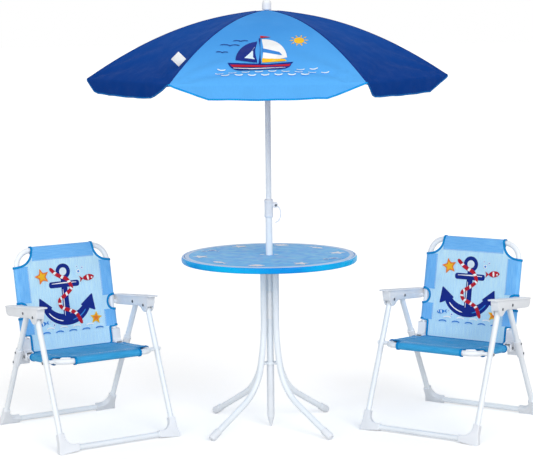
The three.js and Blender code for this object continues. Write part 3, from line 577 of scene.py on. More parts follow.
def stroke(line, half):
    """The outline of a pen stroke along a line, with its ends drawn to half width."""
    p = np.asarray(line, float)
    t = tangents(p)
    width = np.full((len(p), 1), float(half))
    width[[0, -1]] *= 0.45
    n = np.column_stack([-t[:, 1], t[:, 0]]) * width
    return np.vstack([p + n, (p - n)[::-1]])


def arc(cx, cy, rx, ry, start, end, steps=14):
    a = np.radians(np.linspace(start, end, steps))
    return np.column_stack([cx + rx * np.cos(a), cy + ry * np.sin(a)])


def star(cx, cy, outer, inner, turn):
    a = np.radians(turn + np.arange(10) * 36)
    r = np.where(np.arange(10) % 2 == 0, outer, inner)
    return np.array(rounded(np.column_stack([cx + r * np.cos(a), cy + r * np.sin(a)]), outer * 0.16))


def turned_about(shape, degrees, cx, cy):
    a = radians(degrees)
    m = np.array([[cos(a), -sin(a)], [sin(a), cos(a)]])
    return (np.asarray(shape, float) - (cx, cy)) @ m.T + (cx, cy)


def fish(cx, cy, size, turn):
    body = np.vstack([arc(cx, cy - size * 0.25, size, size * 0.72, 20, 160, 12),
                      arc(cx, cy + size * 0.25, size, size * 0.72, 200, 340, 12)])
    tail = [(cx + size * a, cy + size * b) for a, b in ((0.9, 0), (1.5, 0.5), (1.34, 0), (1.5, -0.5))]
    return [turned_about(part, turn, cx, cy) for part in (body, tail)]


def waves(rows, pitch, rx, ry):
    """Small wave strokes as (row, across, outline), from a (place, count, shift) for each row."""
    for row, (y, count, shift) in enumerate(rows):
        for i in range(count):
            x = (i - (count - 1) / 2) * pitch + shift
            yield row, x, stroke(arc(x, y - 3, rx, ry, 20, 160, 9), 1.7)


def clipped(verts, faces, side):
    """The part of a flat mesh with x of the given sign, cut at x 0."""
    index, out_f = {}, []
    for f in faces:
        ring, ids = [verts[i] for i in f], []
        for p, q in zip(ring, ring[1:] + ring[:1]):
            kept = [p] if side * p[0] >= 0 else []
            if p[0] * q[0] < 0:
                kept.append((0.0, p[1] + p[0] / (p[0] - q[0]) * (q[1] - p[1])))
            ids += [index.setdefault((round(float(a), 4), round(float(b), 4)), len(index)) for a, b in kept]
        ids = tuple(dict.fromkeys(ids))
        if len(ids) > 2:
            out_f.append(ids)
    return np.array(list(index)).reshape(-1, 2), out_f


def lay_print(name, shapes, surface, body, cad_slot, place=None, side=0, lift=0.25, palette=INK):
    """One piece from (ink, outline) shapes, each laid a little above the one before. With a side, it
    is cut at x 0 for a panel seen from outside, whose faces turn over."""
    parts, kinds, inks = [], [], []
    for level, (ink, outline) in enumerate(shapes):
        flat, faces = filled(outline)
        if side:
            flat, faces = clipped(flat, flipped(faces), side)
        if not faces:
            continue
        if ink not in inks:
            inks.append(ink)
        parts.append((surface(flat, lift + 0.07 * level), faces, flat))
        kinds += [inks.index(ink)] * len(faces)
    return add_mesh(name, parts, [palette[i] for i in inks], body, cad_slot, place, kinds=kinds)


# ---------- table ----------
# A leg: height of its upper bend, its lean below that in radians, its radius, its upper end from the pole.
KNEE, LEG_LEAN, LEG_R, LEG_OUT = 244, 0.205, 8.8, 17.8 * sqrt(2)
# The table's hole, and the ring in which its sea motifs lie.
HOLE_R, MOTIF_R = 11.3, RADIUS - 54


def table():
    edge = [(RADIUS - a, TABLE_TOP - b) for a, b in (
        (9, 18), (2, 18), (0, 15), (0, 5), (3, 0.6), (7.5, 0), (8, 7), (15, 7), (15, 10))]
    verts, faces = lathe(rounded(edge, 2.2), 160)
    # Painted highlight: the rim's top faces take the pale colour, for the white reflection on its glossy top.
    high = [1 if verts[list(f)][:, 2].mean() > TABLE_TOP - 1.2 else 0 for f in faces]
    add_mesh("table_rim_smooth", (verts, faces), [RIM, RIM_HIGHLIGHT_AND_BORDER], "table", "rim_plastic",
             instead="table_rim", kinds=high)
    panel = collar(HOLE_R, RADIUS - 8.35, PANEL_Z - 6, PANEL_Z, 0.8, 160)
    add_mesh("table_panel", panel, WATER, "table", "table_panel", instead="table_top")
    # A pale ring at the panel's edge: partly a print border, partly a painted highlight of the glossy rim.
    ring = [(RADIUS - a, PANEL_Z + b) for a, b in ((21, -0.4), (8.8, -0.4), (8.8, 0.25), (21, 0.12))]
    add_mesh("table_border_and_highlight_ring", lathe(rounded(ring, 0.1), 160), RIM_HIGHLIGHT_AND_BORDER, "table", "table_panel")
    mould("table_spider", PLASTIC)
    pole_collar()
    table_prints()
    for end, y in (("front", -1), ("rear", 1)):
        for hand, x in (("left", -1), ("right", 1)):
            table_leg(f"{end}_{hand}", atan2(y, x))


def pole_collar():
    """Ring round the pole, with a lug to each leg."""
    low, high = box_mm("pole_collar")
    middle = (low[2] + high[2]) / 2
    reach = LEG_OUT - 8 + (KNEE - middle) * tan(LEG_LEAN)
    lugs = [tube([polar(r, turn, middle) for r in (12.5, reach)], 2.6, 16)
            for turn in np.radians([45, 135, 225, 315])]
    ring = collar(HOLE_R, HOLE_R + 2.5, low[2], high[2], 0.8, 64)
    add_mesh("pole_collar_smooth", [ring, *lugs], STEEL, "table", "white_plastic", instead="pole_collar")


def table_leg(name, turn):
    slope, cap = pi / 6, LEG_R + 2.2
    foot = np.array((236, 0, cap * cos(slope) - 2.8))
    drop = ((KNEE - foot[2] - (foot[0] - LEG_OUT) * tan(slope))
            / (1 - tan(LEG_LEAN) * tan(slope)))
    bend = (LEG_OUT + drop * tan(LEG_LEAN), 0, KNEE - drop)
    up = np.array((-cos(slope), 0, sin(slope)))
    spin = about_z(turn)
    top, knee = (LEG_OUT, 0, TABLE_TOP - 13.35), (LEG_OUT, 0, KNEE)
    line = bent_line([top, knee, bend, foot + up * 2.4], [660, 152], 16)
    add_mesh("leg_" + name, tube(line, LEG_R, 26), STEEL, "table", "white_steel", spin,
             "table_leg_" + name)
    profile = [(0, -1), (cap - 2.5, -1), (cap, 3), (cap, 32), (cap - 1, 33), (LEG_R + 0.2, 33),
               (LEG_R + 0.2, 1.6), (0, 1.6)]
    v, f = aimed(plug(profile, 1.2, 40), foot, up)
    v[:, 2] = np.maximum(v[:, 2], 0.0)
    add_mesh("leg_cap_" + name, (v, f), PLASTIC, "table", "white_plastic", spin)


def table_prints():
    """White sea motifs in a ring near the edge, and a dot on each side of the hole for the pole."""
    shapes = []
    dot = lambda ink, x, y, r, end=345, steps=18: shapes.append((ink, arc(x, y, r, r, 0, end, steps)))
    for k in range(10):
        degrees, kind = k * 36 + 8, k % 5
        x, y = polar(MOTIF_R, radians(degrees))
        if kind in (0, 3):
            shapes.append(("white", star(x, y, 27, 11.5, degrees)))
        elif kind == 1:
            shapes += [("white", s) for s in fish(x, y, 22, degrees + 90)]
            dot("sky", x, y, 2.6, 330, 10)
        elif kind == 2:
            fan = [polar(24 * (1 + 0.1 * cos(b * 14)), b) for b in np.radians(np.linspace(15, 165, 34))]
            shell = np.array(fan + [(-24 * 0.22, -24 * 0.35), (24 * 0.22, -24 * 0.35)]) + (x, y - 3)
            shapes.append(("white", turned_about(shell, degrees - 90, x, y - 3)))
        else:
            for dx, dy, r in ((-15, -6, 9.5), (7, 7, 13), (23, -11, 6)):
                dot("foam", x + dx, y + dy, r)
                dot("sky", x + dx, y + dy, r * 0.66)
                dot("white", x + dx - r * 0.3, y + dy + r * 0.3, r * 0.2, 330, 10)
    shapes += [("white", arc(x, 0, 6.5, 4.5, 0, 345, 18)) for x in (-20, 20)]
    on_panel = lambda flat, lift: np.column_stack([flat, np.full(len(flat), PANEL_Z + lift * 0.5)])
    lay_print("table_motifs", shapes, on_panel, "table", "table_panel", lift=0.16, palette=PANEL_INK)


# ---------- pole, clamp and ferrule ----------
CLAMP_TOP = box_mm("pole_clamp")[1][2]
PIN = np.array((20, 0, CLAMP_TOP - 17.5))


def pole_tube(part, bore, body):
    low, high = box_mm(part + "_pole")
    add_mesh(f"pole_{part}_tube", collar(bore, bore + 1.1, low[2], high[2], 0.4, 56), STEEL, body,
             "white_steel", instead=part + "_pole")


def pole():
    top = box_mm("ground_spike")[1][2]
    spike = [(0, 0.02), (2.5, 0.02), (10.5, 30), (10.5, top), (10, top), (10, 141), (0, 141)]
    add_mesh("spike_smooth", plug(spike, 1, 56), PLASTIC, "pole", "white_plastic", instead="ground_spike")
    pole_tube("lower", 8.65, "pole")
    add_mesh("pole_sleeve", collar(9.7, 10.9, 316, 396, 0.5, 56), FERRULE, "pole", "white_steel")
    pole_tube("upper", 7.15, "head")
    clamp()
    mould("ferrule_crown", FERRULE, 0.8)
    mould("runner", PLASTIC, 0.5)


def clamp():
    bottom, outer = box_mm("pole_clamp")[0][2], 12.8
    profile = [(10.1, bottom), (11.3, bottom), (outer, bottom + 2.5), (outer, bottom + 7),
               (outer - 0.7, bottom + 9)] + [(r, CLAMP_TOP - down) for r, down in (
                   (outer - 0.7, 10), (outer, 8), (outer, 3), (outer - 1.6, 0), (8.6, 0), (8.6, 3.6),
                   (10.1, 3.6))]
    parts = [lathe(rounded(profile, 0.9), 64)]
    for side in (-1, 1):
        v, f = slab(rounded(rect(10.6, 25, -7.5, 8.5), 6.5, 6), 3.25, 6.25, 0.6)
        v = np.column_stack([v[:, 0], side * v[:, 2], v[:, 1] + PIN[2]])
        parts.append((v, flipped(f) if side > 0 else f))
    add_mesh("clamp_body", parts, PLASTIC, "pole", "white_plastic", instead="pole_clamp", edge=50)
    to_side = lambda part, s, off: aimed(part, PIN + (0, s * off, 0), (0, s, 0))
    pins = [to_side(lathe(rect(0, 2.2, 0, 6.4), 20), s, 0.02) for s in (-1, 1)]
    heads = [to_side(dome(3.6, 1.4), s, 6.3) for s in (-1, 1)]
    add_mesh("clamp_pin", pins + heads, RIVET, "pole", "white_steel")
    bow = np.array([(0, 0), (9, -7.5), (13.5, -20.5), (12.5, -33.5), (7, -44.5), (-1.5, -50.5)], float)
    knots = np.vstack([2 * bow[0] - bow[1], bow, 2 * bow[-1] - bow[-2]])
    t = np.linspace(0, 5, 40)
    k = np.minimum(t.astype(int), 4)
    u = (t - k)[:, None]
    a, b, c, d = (knots[k + i] for i in range(4))
    line = 0.5 * (2 * b + (c - a) * u + (2 * a - 5 * b + 4 * c - d) * u ** 2
                  + (3 * b - 3 * c + d - a) * u ** 3)
    points = np.insert(line, 1, 0, axis=1) + PIN
    normal = tangents(points)[:, ::-1] * (1, 0, -1)
    width = np.ones(36)
    width[-3:] = (0.97, 0.86, 0.62)
    handle = swept(points[4:], flat_section(2.75, 1.8), normal[4:], width)
    hub = aimed(collar(2.6, 5.6, -2.8, 2.8, 0.6, 32), PIN, (0, 1, 0))
    add_mesh("lever_smooth", [handle, hub], PLASTIC, "lever", "white_plastic", instead="clamp_lever", edge=55)


# ---------- umbrella ----------
RUNNER_Z = box_mm("runner")[1][2] - 8
ROWS = HOLE + (REACH + 1 - HOLE) * (np.linspace(0, 1, 34) ** 0.9)
# Share of a panel, at each end, over which the valance grows to its full depth.
TAPERS = {3: (0.12, 0.18), 4: (0.19, 0.2), 5: (0.07, 0.23)}
FALL = [0.03, 0.08, 0.16, 0.28, 0.42, 0.57, 0.72, 0.86, 0.95, 1.0]


def rib_height(r):
    return CROWN_Z - DROP * (r / REACH) ** CURVE


def smooth(x, a, b):
    t = np.clip((x - a) / (b - a), 0, 1)
    return t * t * (3 - 2 * t)


def canopy_grid(panel, across):
    """Points and normals of one panel's outer face, [row, column], for places across it from 0 to 1."""
    f, r = np.asarray(across, float)[None, :], ROWS[:, None]
    a, b = (np.array(polar(1, e)) for e in np.radians([60 * panel, 60 * panel + 60]))
    mid = unit(a + b)
    phase, near, bow = panel * 1.7, np.minimum(f, 1 - f), 4 * f * (1 - f)
    lift = 3.7 + 2.9 * np.exp(-((r / 60) ** 2))
    slope = DROP * CURVE / REACH * (r / REACH) ** (CURVE - 1)
    side, up = (f - 0.5) * r, (REACH - r) * 0.9
    pull = 0.0
    for tip in (-1, 1):
        inward = REACH / 2 - tip * side
        away = (np.hypot(inward, up) + 1e-6) / 95
        angle = np.degrees(np.arctan2(up, np.maximum(inward, 1e-6)))
        for at, width, size in ((6, 4, 5.5), (15, 5, -5.0), (27, 6, 3.8), (42, 8, -2.8)):
            spread = np.exp(-((angle - at - 2 * sin(phase + at)) / width) ** 2)
            pull = pull + size * spread * away * np.exp(1 - away)
    pull = pull + 0.9 * np.sin(side / 17 + phase) * np.exp(-up / 46)
    pull = pull + 1.3 * np.sin(side / 44 + up / 90 - phase * 2) * np.exp(-((up - 190) / 150) ** 2)
    dip = -4.5 * np.sin(pi * np.clip(r / REACH, 0, 1) ** 1.3) * bow
    push = (dip + pull * smooth(near * r, 0, 16)) / np.sqrt(1 + slope ** 2)
    flat = r[:, :, None] * (a + (b - a) * f[:, :, None]) + mid * (push * slope)[:, :, None]
    z = rib_height(np.minimum(r, REACH)) + lift + push
    top = np.concatenate([flat, z[:, :, None]], 2)
    first, last = TAPERS.get(panel, (0.15, 0.16))
    depth = 38 * np.minimum(np.clip(f / first, 0, 1), np.clip((1 - f) / last, 0, 1)) ** 0.9
    x, depth = (f[0] - 0.5) * REACH, (1 + depth + 3.5 * bow ** 3)[0]
    fall = []
    for share in FALL:
        d = share * depth
        wave = 2.6 * np.sin(x / 21 + phase) + 1.5 * np.sin(x / 9.5 - phase * 1.3)
        out = 2.4 * smooth(d, 0, 5) - 0.05 * d + wave * smooth(d, 4, 48) * smooth(near[0], 0, 0.12)
        fall.append(np.column_stack([top[-1, :, :2] + mid * out[:, None], top[-1, :, 2] - 1.2 * share - d]))
    points = np.concatenate([top, fall], 0)
    normal = unit(np.cross(np.gradient(points, axis=1), -np.gradient(points, axis=0)))
    return points, normal * np.sign(normal[2, :, 2].mean())


def canopy():
    steps = np.array(GORE_STEPS)
    grids = [canopy_grid(k, np.concatenate([steps, 1 - steps[-2::-1]])) for k in range(6)]
    mid = len(steps) - 1
    for k in range(6):
        before, after = grids[k - 1], grids[k]
        points, normal = (np.concatenate([before[i][:, mid:-1], after[i][:, :mid + 1]], 1) for i in (0, 1))
        normal[:, mid] = unit(before[1][:, -1] + after[1][:, 0])
        gore(k, points, normal, mid, PANELS[k - 1], PANELS[k])


def fold_flat(obj, k):
    """Gives a piece of cloth on one rib a mesh of its own."""
    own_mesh(obj)


def gore(k, points, normal, mid, kind_a, kind_b):
    """The cloth on one rib, from the middle of one panel to the middle of the next."""
    rows, cols = points.shape[:2]
    body = f"rib_{k + 1}"
    verts, flow = (np.vstack([outer.reshape(-1, 3), inner.reshape(-1, 3)])
                   for outer, inner in ((points, points - normal * 0.8), (normal, -normal)))
    faces = closed_pair(rows, cols)
    kinds = [0 if f[0] % cols < mid else 1 for f in faces]
    a, b, c = (verts[[f[i] for f in faces[:rows * cols // 2]]] for i in (0, 1, 2))
    if (np.cross(b - a, c - a) * flow[[f[0] for f in faces[:len(a)]]]).sum(1).mean() < 0:
        faces = flipped(faces)
    width = np.linalg.norm(points[:, -1] - points[:, mid], axis=1)
    across = (np.arange(cols) - mid) / mid * width[:, None]
    flat = np.stack([across, run_length(points)], 2).reshape(-1, 2)
    cloth = add_mesh(f"canopy_gore_{k + 1}", (verts, faces, np.vstack([flat, flat])),
                     [CLOTH[kind_a], CLOTH[kind_b]], body, "canopy_cloth", instead="canopy", kinds=kinds,
                     edge=70, normals=flow)
    section = flat_section(2.3, 0.95)
    binding = swept(points[-1] + (0, 0, 0.9), section, unit(normal[-1] * (1, 1, 0)))
    tip = len(binding[0]) - 2
    kinds = [0 if min(q) < mid * len(section) or tip in q else 1 for q in binding[1]]
    hem = add_mesh(f"canopy_binding_{k + 1}", binding, [HEM[kind_a], HEM[kind_b]], body, "canopy_cloth",
                   kinds=kinds, edge=60)
    for piece in (cloth, hem):
        fold_flat(piece, k)
    out = normal[1:len(ROWS), mid]
    seam = swept(points[1:len(ROWS), mid] + out * 0.1, flat_section(1.9, 0.75), out)
    add_mesh(f"canopy_seam_{k + 1}", seam, SEAM, body, "canopy_cloth", edge=60)


def canopy_place(panel, flat, lift):
    """Points on a panel from (across, down the slope) in mm, seen square on, set off by the lift."""
    grid, normal = canopy_grid(panel, np.linspace(0, 1, 241))
    flat = np.asarray(flat)
    r = np.clip(flat[:, 1], ROWS[1], ROWS[-1])
    f = np.clip(flat[:, 0] / r + 0.5, 0, 1) * 240
    row = np.interp(r, ROWS, np.arange(len(ROWS)))
    i, j = np.minimum(row.astype(int), len(ROWS) - 2), np.minimum(f.astype(int), 239)
    u, v = (row - i)[:, None], (f - j)[:, None]
    pick = lambda m: ((m[i, j] * (1 - v) + m[i, j + 1] * v) * (1 - u)
                      + (m[i + 1, j] * (1 - v) + m[i + 1, j + 1] * v) * u)
    return pick(grid) + unit(pick(normal)) * lift


def ribs():
    for k in range(6):
        spin, body, flat = about_z(radians(60 * k)), f"rib_{k + 1}", (0, 1, 0)
        on_rib = lambda r: np.column_stack([r, 0 * r, rib_height(r)])
        eye = aimed(collar(0.9, 2.5, -1.9, 1.9, 0.4, 20), (PIVOT_R, 0, rib_height(PIVOT_R)), flat)
        wire = tube(on_rib(np.linspace(PIVOT_R, REACH - 4, 30)), 2, 12, 0.4)
        add_mesh(f"rib_wire_{k + 1}", [wire, eye], STEEL, body, "white_steel", spin, body)
        tip = on_rib(REACH - np.array([16, 15.4, 14, 3, 1, 0]))
        cap = swept(tip - (0, 0, 0.7), circle(3.7, 16), scale=[0.75, 0.95, 1, 0.9, 0.7, 0.4])
        add_mesh(f"rib_tip_{k + 1}", cap[:2], FERRULE, body, "white_plastic", spin)
        ends = np.array([(PIVOT_R, 4.2, RUNNER_Z), (JOINT_R, 4.2, rib_height(JOINT_R))])
        eyes = [aimed(collar(0, 2.3, -1.5, 1.5, 0.4, 18), p, flat) for p in ends[::-1]]
        rivet = aimed(lathe(rect(0, 1.2, 0, 1.9), 12), (JOINT_R, 2.35, ends[1][2]), flat)
        body = f"stretcher_{k + 1}"
        add_mesh(f"stretcher_wire_{k + 1}", [tube(dense(ends), 1.5, 12, 0.4), rivet, *eyes], STEEL, body,
                 "white_steel", spin, body)


def canopy_prints():
    """A sailing boat on staggered waves, a sun and gulls, laid as (across, slope) shapes."""
    x, y = 84, 316
    s = [("sun", arc(x, y, 14, 17, 0, 348, 26))]
    for k in range(10):
        a = radians(36 * k)
        s.append(("sun", [(x + p * cos(a + turn), y + q * sin(a + turn))
                          for p, q, turn in ((17, 21, -0.16), (26, 31, 0), (17, 21, 0.16))]))
    x, y = -20, 452
    at = lambda *points: np.array(points, float) + (x, y)
    s += [
        ("navy", np.vstack([at((-84, -26)), arc(x - 42, y - 26, 40, 28, 176, 100, 8),
                            arc(x + 34, y - 26, 48, 28, 80, 4, 8), at((88, -31))])),
        ("red", at((-77, -20), (80, -24), (76, -16), (-70, -12))),
        ("white", stroke(at((-68, -8.5), (-20, -7), (24, -8), (66, -11)), 2.2)),
        ("navy", at((-3, -26), (-2, -152), (2, -152), (3, -26))),
        ("white", np.vstack([at((6, -34), (6, -146)), arc(x + 6, y - 34, 66, 112, -78, -8, 10)])),
        ("sky", at((6, -74), (6, -92), (52, -72), (59, -58))),
        ("sun", at((6, -34), (6, -50), (65, -44), (70, -36))),
        ("navy", np.vstack([at((-7, -34)), arc(x - 7, y - 36, 56, 94, -178, -94, 10), at((-7, -134))])),
        ("foam", at((-13, -46), (-13, -100), (-40, -50))),
        ("red", at((2, -152), (2, -168), (30, -158))),
    ]
    for gx, gy, g in ((-98, 342, 13), (-70, 318, 10), (-118, 374, 8)):
        wings = [arc(gx + side * g, gy, g, g * 0.6, 200, 340, 9) for side in (-1, 1)]
        s.append(("navy", stroke(np.vstack(wings), 1.5)))
    rows = ((452, 8, 0), (466, 9, 12), (480, 7, -6))
    s += [("foam", line) for row, wx, line in waves(rows, 34, 11, 5.5) if row or abs(wx - x) >= 76]
    for k, side in ((4, -1), (5, 1)):
        obj = lay_print(f"canopy_print_{k + 1}", s, lambda flat, lift: canopy_place(4, flat, lift),
                        f"rib_{k + 1}", "canopy_cloth", side=side)
        fold_flat(obj, k)
    seam_at = canopy_place(3, [(REACH * 0.84 / 2 - 0.5, REACH * 0.84)], 0.4)[0]
    v, f = slab(rounded(np.array([(-1, 0), (0, -1), (1, 0), (0, 1)]) * 19.5, 1.6), -0.3, 0.3, 0.2, 1)
    v = v[:, [0, 2, 1]] * (1, -1, 1) + seam_at + (-17, -4, 10)
    label = add_mesh("canopy_label", (v, f, v[:, [0, 2]]), LABEL, "rib_5", "canopy_cloth", edge=60)
    fold_flat(label, 4)


# ---------- chairs ----------
# Side-view points are [y, z] from the middle of the front floor bar, as in the CAD model.
ARM_PIVOT, LEG_PIVOT, BACK_PIVOT = (150.875, 355), (216.125, 357), (323.125, 343)
SEAT_PIVOT, HINGE = (99.875, 235), (282.125, 219)
REAR_FOOT, BACK_LEAN, BACK_TOP, FLOOR_BAR = (404, 11), 0.205, 511, 11
BACK_BEND, SEAT_BEND, FLOOR_BEND = 46, 34, 36  # bends of the back's, seat's and floor frames' tubes
SEAT_CORNER = 42  # round front corners of the seat cloth
NOTCH = (16, 21)  # depth and half height of the gap in the back cloth at its pivot
CLOTH_N, HEM_N, EDGE_N = 9.05, 9.3, 9.6  # heights of the cloth, of binding on it and on its round edges
WRAP = (-112, 84)  # binding round a tube, in degrees from its underside to its top
QUARTER = np.linspace(0.06, pi / 2 - 0.06, 16)


class Line:
    """A line in the chair's side view, and the plane across the chair that holds it."""

    def __init__(self, start, end):
        self.start, run = np.array(start, float), np.subtract(end, start)
        self.length = float(np.hypot(*run))
        self.aim = run / self.length
        self.up = np.array((0, *self.aim))
        self.normal = np.cross((1, 0, 0), self.up)

    def at(self, s):
        return self.start + self.aim * s

    def point(self, u, s, n=0):
        """Chair points from places across, along and in front of the plane."""
        u, s, n = (np.asarray(v, float)[..., None] for v in np.broadcast_arrays(u, s, n))
        return np.array((0, *self.start)) + u * (1.0, 0, 0) + s * self.up + n * self.normal

    def normals(self, count):
        return np.repeat(self.normal[None], count, 0)


def back_at(z):
    return BACK_PIVOT[0] + BACK_LEAN * (z - BACK_PIVOT[1]), z


FRONT = Line((ARM_PIVOT[0] / ARM_PIVOT[1] * FLOOR_BAR, FLOOR_BAR), ARM_PIVOT)
REAR = Line(REAR_FOOT, LEG_PIVOT)
SEAT_LINE = Line(SEAT_PIVOT, HINGE)
BACK_LINE = Line(BACK_PIVOT, back_at(BACK_TOP))
TOP = BACK_LINE.length
SEAT_NOSE = 68 - SEAT_PIVOT[0]


def chair_place(name):
    """Rotation and offset of a chair, from its folding joint's axis and pivot."""
    joint = JOINTS[name + "_chair_fold"]
    x = unit(joint["axis"])
    turn = np.column_stack([x, np.cross((0, 0, 1), x), (0, 0, 1)])
    return turn, np.array(joint["pos_m"]) / MM - turn @ np.array((0, *ARM_PIVOT))


def sag(u, s, deep, half, start, end):
    """How far a stretched panel gives in its middle."""
    across = np.clip(1 - (np.asarray(u) / half) ** 2, 0, 1) ** 1.4
    return -deep * across * smooth(s, start, start + 50) * (1 - smooth(s, end - 55, end))


def wrap(line, at, along, start, end):
    """Binding points and normals round a cloth's tube, which runs along 'u' or 's'."""
    radius, a = 10.75, np.radians(np.linspace(start, end, 12))
    side, out = (np.sign(at[0]), (1.0, 0, 0)) if along == "s" else (np.sign(at[2]), line.up)
    shift = side * radius * np.cos(a)
    u, s = (at[0] + shift, at[1]) if along == "s" else (at[0], at[1] + shift)
    normals = side * np.cos(a)[:, None] * out + np.sin(a)[:, None] * line.normal
    return line.point(u, s, radius * np.sin(a)), normals


def sleeve(line, rod, ends, stitch):
    """Cloth that goes round a tube and back to its own stitches. rod is ('s', u) or ('u', s, way)."""
    radius, along_s = 9.9, rod[0] == "s"
    way = np.sign(rod[1]) if along_s else rod[2]
    rod_at = rod[1] * way
    turn = np.radians(np.linspace(92, -117, 15))
    path = np.vstack([[(rod_at - stitch, radius)], [(rod_at - stitch * 0.5, radius + 0.15)],
                      np.column_stack([rod_at + radius * np.cos(turn), radius * np.sin(turn)]),
                      [(rod_at - stitch * 0.45, -1.2)], [(rod_at - stitch, 8.0)]])
    t = tangents(path)
    out = np.column_stack([-t[:, 1], t[:, 0]])
    rail = np.linspace(*ends, max(3, int(abs(ends[1] - ends[0]) / 9)))[:, None]
    grids = []
    for offset in (0.4, -0.4):
        c, n = (path + out * offset).T
        n = n + 0.22 * np.sin(rail / 6.5 + rod_at) * (n > 6)
        grids.append(line.point(way * c, rail, n) if along_s else line.point(rail, way * c, n))
    rows, cols = grids[0].shape[:2]
    flat = np.column_stack([np.tile(run_length(path), rows), np.repeat(rail, cols)])
    return np.vstack([g.reshape(-1, 3) for g in grids]), closed_pair(rows, cols), np.vstack([flat, flat])


def cloth_sheet(line, along, half_width, depth, cols=31):
    """A flat-cut panel with a half width at each place along it, given its sag by depth(u, s)."""
    s = np.repeat(np.array(along, float)[:, None], cols, 1)
    u = np.linspace(-1, 1, cols) * np.array([[half_width(place)] for place in along])
    verts = [line.point(u, s, CLOTH_N + depth(u, s) + o).reshape(-1, 3) for o in (-0.4, 0.4)]
    flat = np.stack([u, s], 2).reshape(-1, 2)
    return np.vstack(verts), closed_pair(len(s), cols), np.vstack([flat, flat])


def bound(points, normals):
    return swept(points, flat_section(3.3, 1.05), normals)


def edging(line, first, middle, last=None):
    """Binding along a free edge, from the underside of one tube to that of the next, on both sides."""
    runs = [wrap(line, *first, *WRAP), (middle, line.normals(len(middle)))]
    runs += [wrap(line, *last, *WRAP[::-1])] if last else []
    points, normals = (np.vstack([run[i] for run in runs]) for i in (0, 1))
    flip = (-1, 1, 1)
    return [bound(points, normals), bound(points[::-1] * flip, normals[::-1] * flip)]


def stitches(line, runs):
    """Short thread dashes along (u0, s0, u1, s1) runs."""
    parts = []
    for u0, s0, u1, s1 in runs:
        count = int(hypot(u1 - u0, s1 - s0) / 4.6)
        for k in range(count):
            t = np.array([k + 0.12, k + 0.45, k + 0.78]) / count
            p = line.point(u0 + (u1 - u0) * t, s0 + (s1 - s0) * t, (10.28, 10.62, 10.28))
            parts.append(swept(p, flat_section(0.42, 0.26), line.normals(3)))
    return parts


def back_half(s):
    """Half width of the back cloth."""
    if s > TOP - BACK_BEND:
        return SIDE_X - sqrt(max(BACK_BEND ** 2 - (TOP - s) ** 2, 0))
    if abs(s) < NOTCH[1]:
        return SIDE_X - NOTCH[0] * sqrt(1 - (s / NOTCH[1]) ** 2)
    return 126 + 17 * (1 - float(smooth(-s, 70, 78))) if s < -70 else SIDE_X


def seat_half(s):
    """Half width of the seat cloth."""
    if s < SEAT_NOSE + SEAT_CORNER:
        return SIDE_X - sqrt(max(SEAT_CORNER ** 2 - (s - SEAT_NOSE) ** 2, 0))
    return SIDE_X if s < 148 else 125 + 18 * (1 - float(smooth(s, 148, 156)))


def sling(name, part, line, place, depth, looks, shape, hems, edges, foot, runs, art):
    """Cloth, hems, binding, stitches and print of a seat or back, as one stretched sheet. foot is the
    half width and place of its straight lower edge."""
    body, slot, across = f"{name}_chair_{part}", part + "_cloth", np.linspace(-foot[0], foot[0], 30)
    edges.append(bound(line.point(across, foot[1], HEM_N + depth(across, foot[1])), line.normals(30)))
    piece = lambda label, shape, look, instead=None: add_mesh(
        f"{name}_{part}_{label}", shape, look, body, slot, place, instead, edge=60)
    cloth = piece("cloth", shape, looks[0], body + "_sling")
    rest = [piece("hems", hems, looks[1]), piece("binding", edges, AZURE),
            piece("stitches", stitches(line, runs), THREAD)]
    if art:
        surface = lambda at, lift: line.point(at[:, 0], at[:, 1], 9.45 + depth(at[:, 0], at[:, 1]) + lift)
        rest.append(lay_print(f"{name}_{part}_print", art, surface, body, slot, place))


def back_cloth(name, place):
    line = BACK_LINE
    depth = lambda u, s: sag(u, s, 4.0, SIDE_X - 30, -175, TOP - 32)
    along = np.concatenate([np.linspace(-122, -78, 7), np.linspace(-76, -70, 4), np.linspace(-62, -24, 6),
                            NOTCH[1] * np.sin(np.linspace(-pi / 2, pi / 2, 13)),
                            np.linspace(26, TOP - 52, 13),
                            TOP - BACK_BEND * np.cos(np.linspace(0.02, 1.5, 12)), [TOP]])
    hems = [sleeve(line, ("s", side * SIDE_X), ends, 30) for side in (-1, 1)
            for ends in ((-70, -NOTCH[1]), (NOTCH[1], TOP - BACK_BEND))]
    hems.append(sleeve(line, ("u", TOP, 1), (BACK_BEND - SIDE_X, SIDE_X - BACK_BEND), 32))
    half = np.linspace(0.1, pi - 0.1, 15)
    shoulder = line.point(SIDE_X - BACK_BEND * np.sin(QUARTER), TOP - BACK_BEND * np.cos(QUARTER), EDGE_N)
    notch = line.point(SIDE_X - NOTCH[0] * np.sin(half), NOTCH[1] * np.cos(half), EDGE_N)
    run = rounded([(SIDE_X - 2, -70), (126, -71), (126, -122), (96, -122)], 9, 5, closed=False)
    edges = (edging(line, ((SIDE_X, TOP - 47), "s"), shoulder, ((SIDE_X - 47, TOP, 1), "u"))
             + edging(line, ((SIDE_X, 22), "s"), notch, ((SIDE_X, -22), "s"))
             + edging(line, ((SIDE_X, -69), "s"), dense([line.point(u, s, HEM_N) for u, s in run], 10)))
    inset = SIDE_X - 28.4
    runs = [(side * inset, s0, side * inset, s1) for side in (-1, 1)
            for s0, s1 in ((-68, -25), (25, TOP - 50))]
    runs.append((-SIDE_X + 50, TOP - 30.4, SIDE_X - 50, TOP - 30.4))
    sling(name, "back", line, place, depth, (BACK, BAND), cloth_sheet(line, along, back_half, depth), hems,
          edges, (97, -122), runs, chair_print())


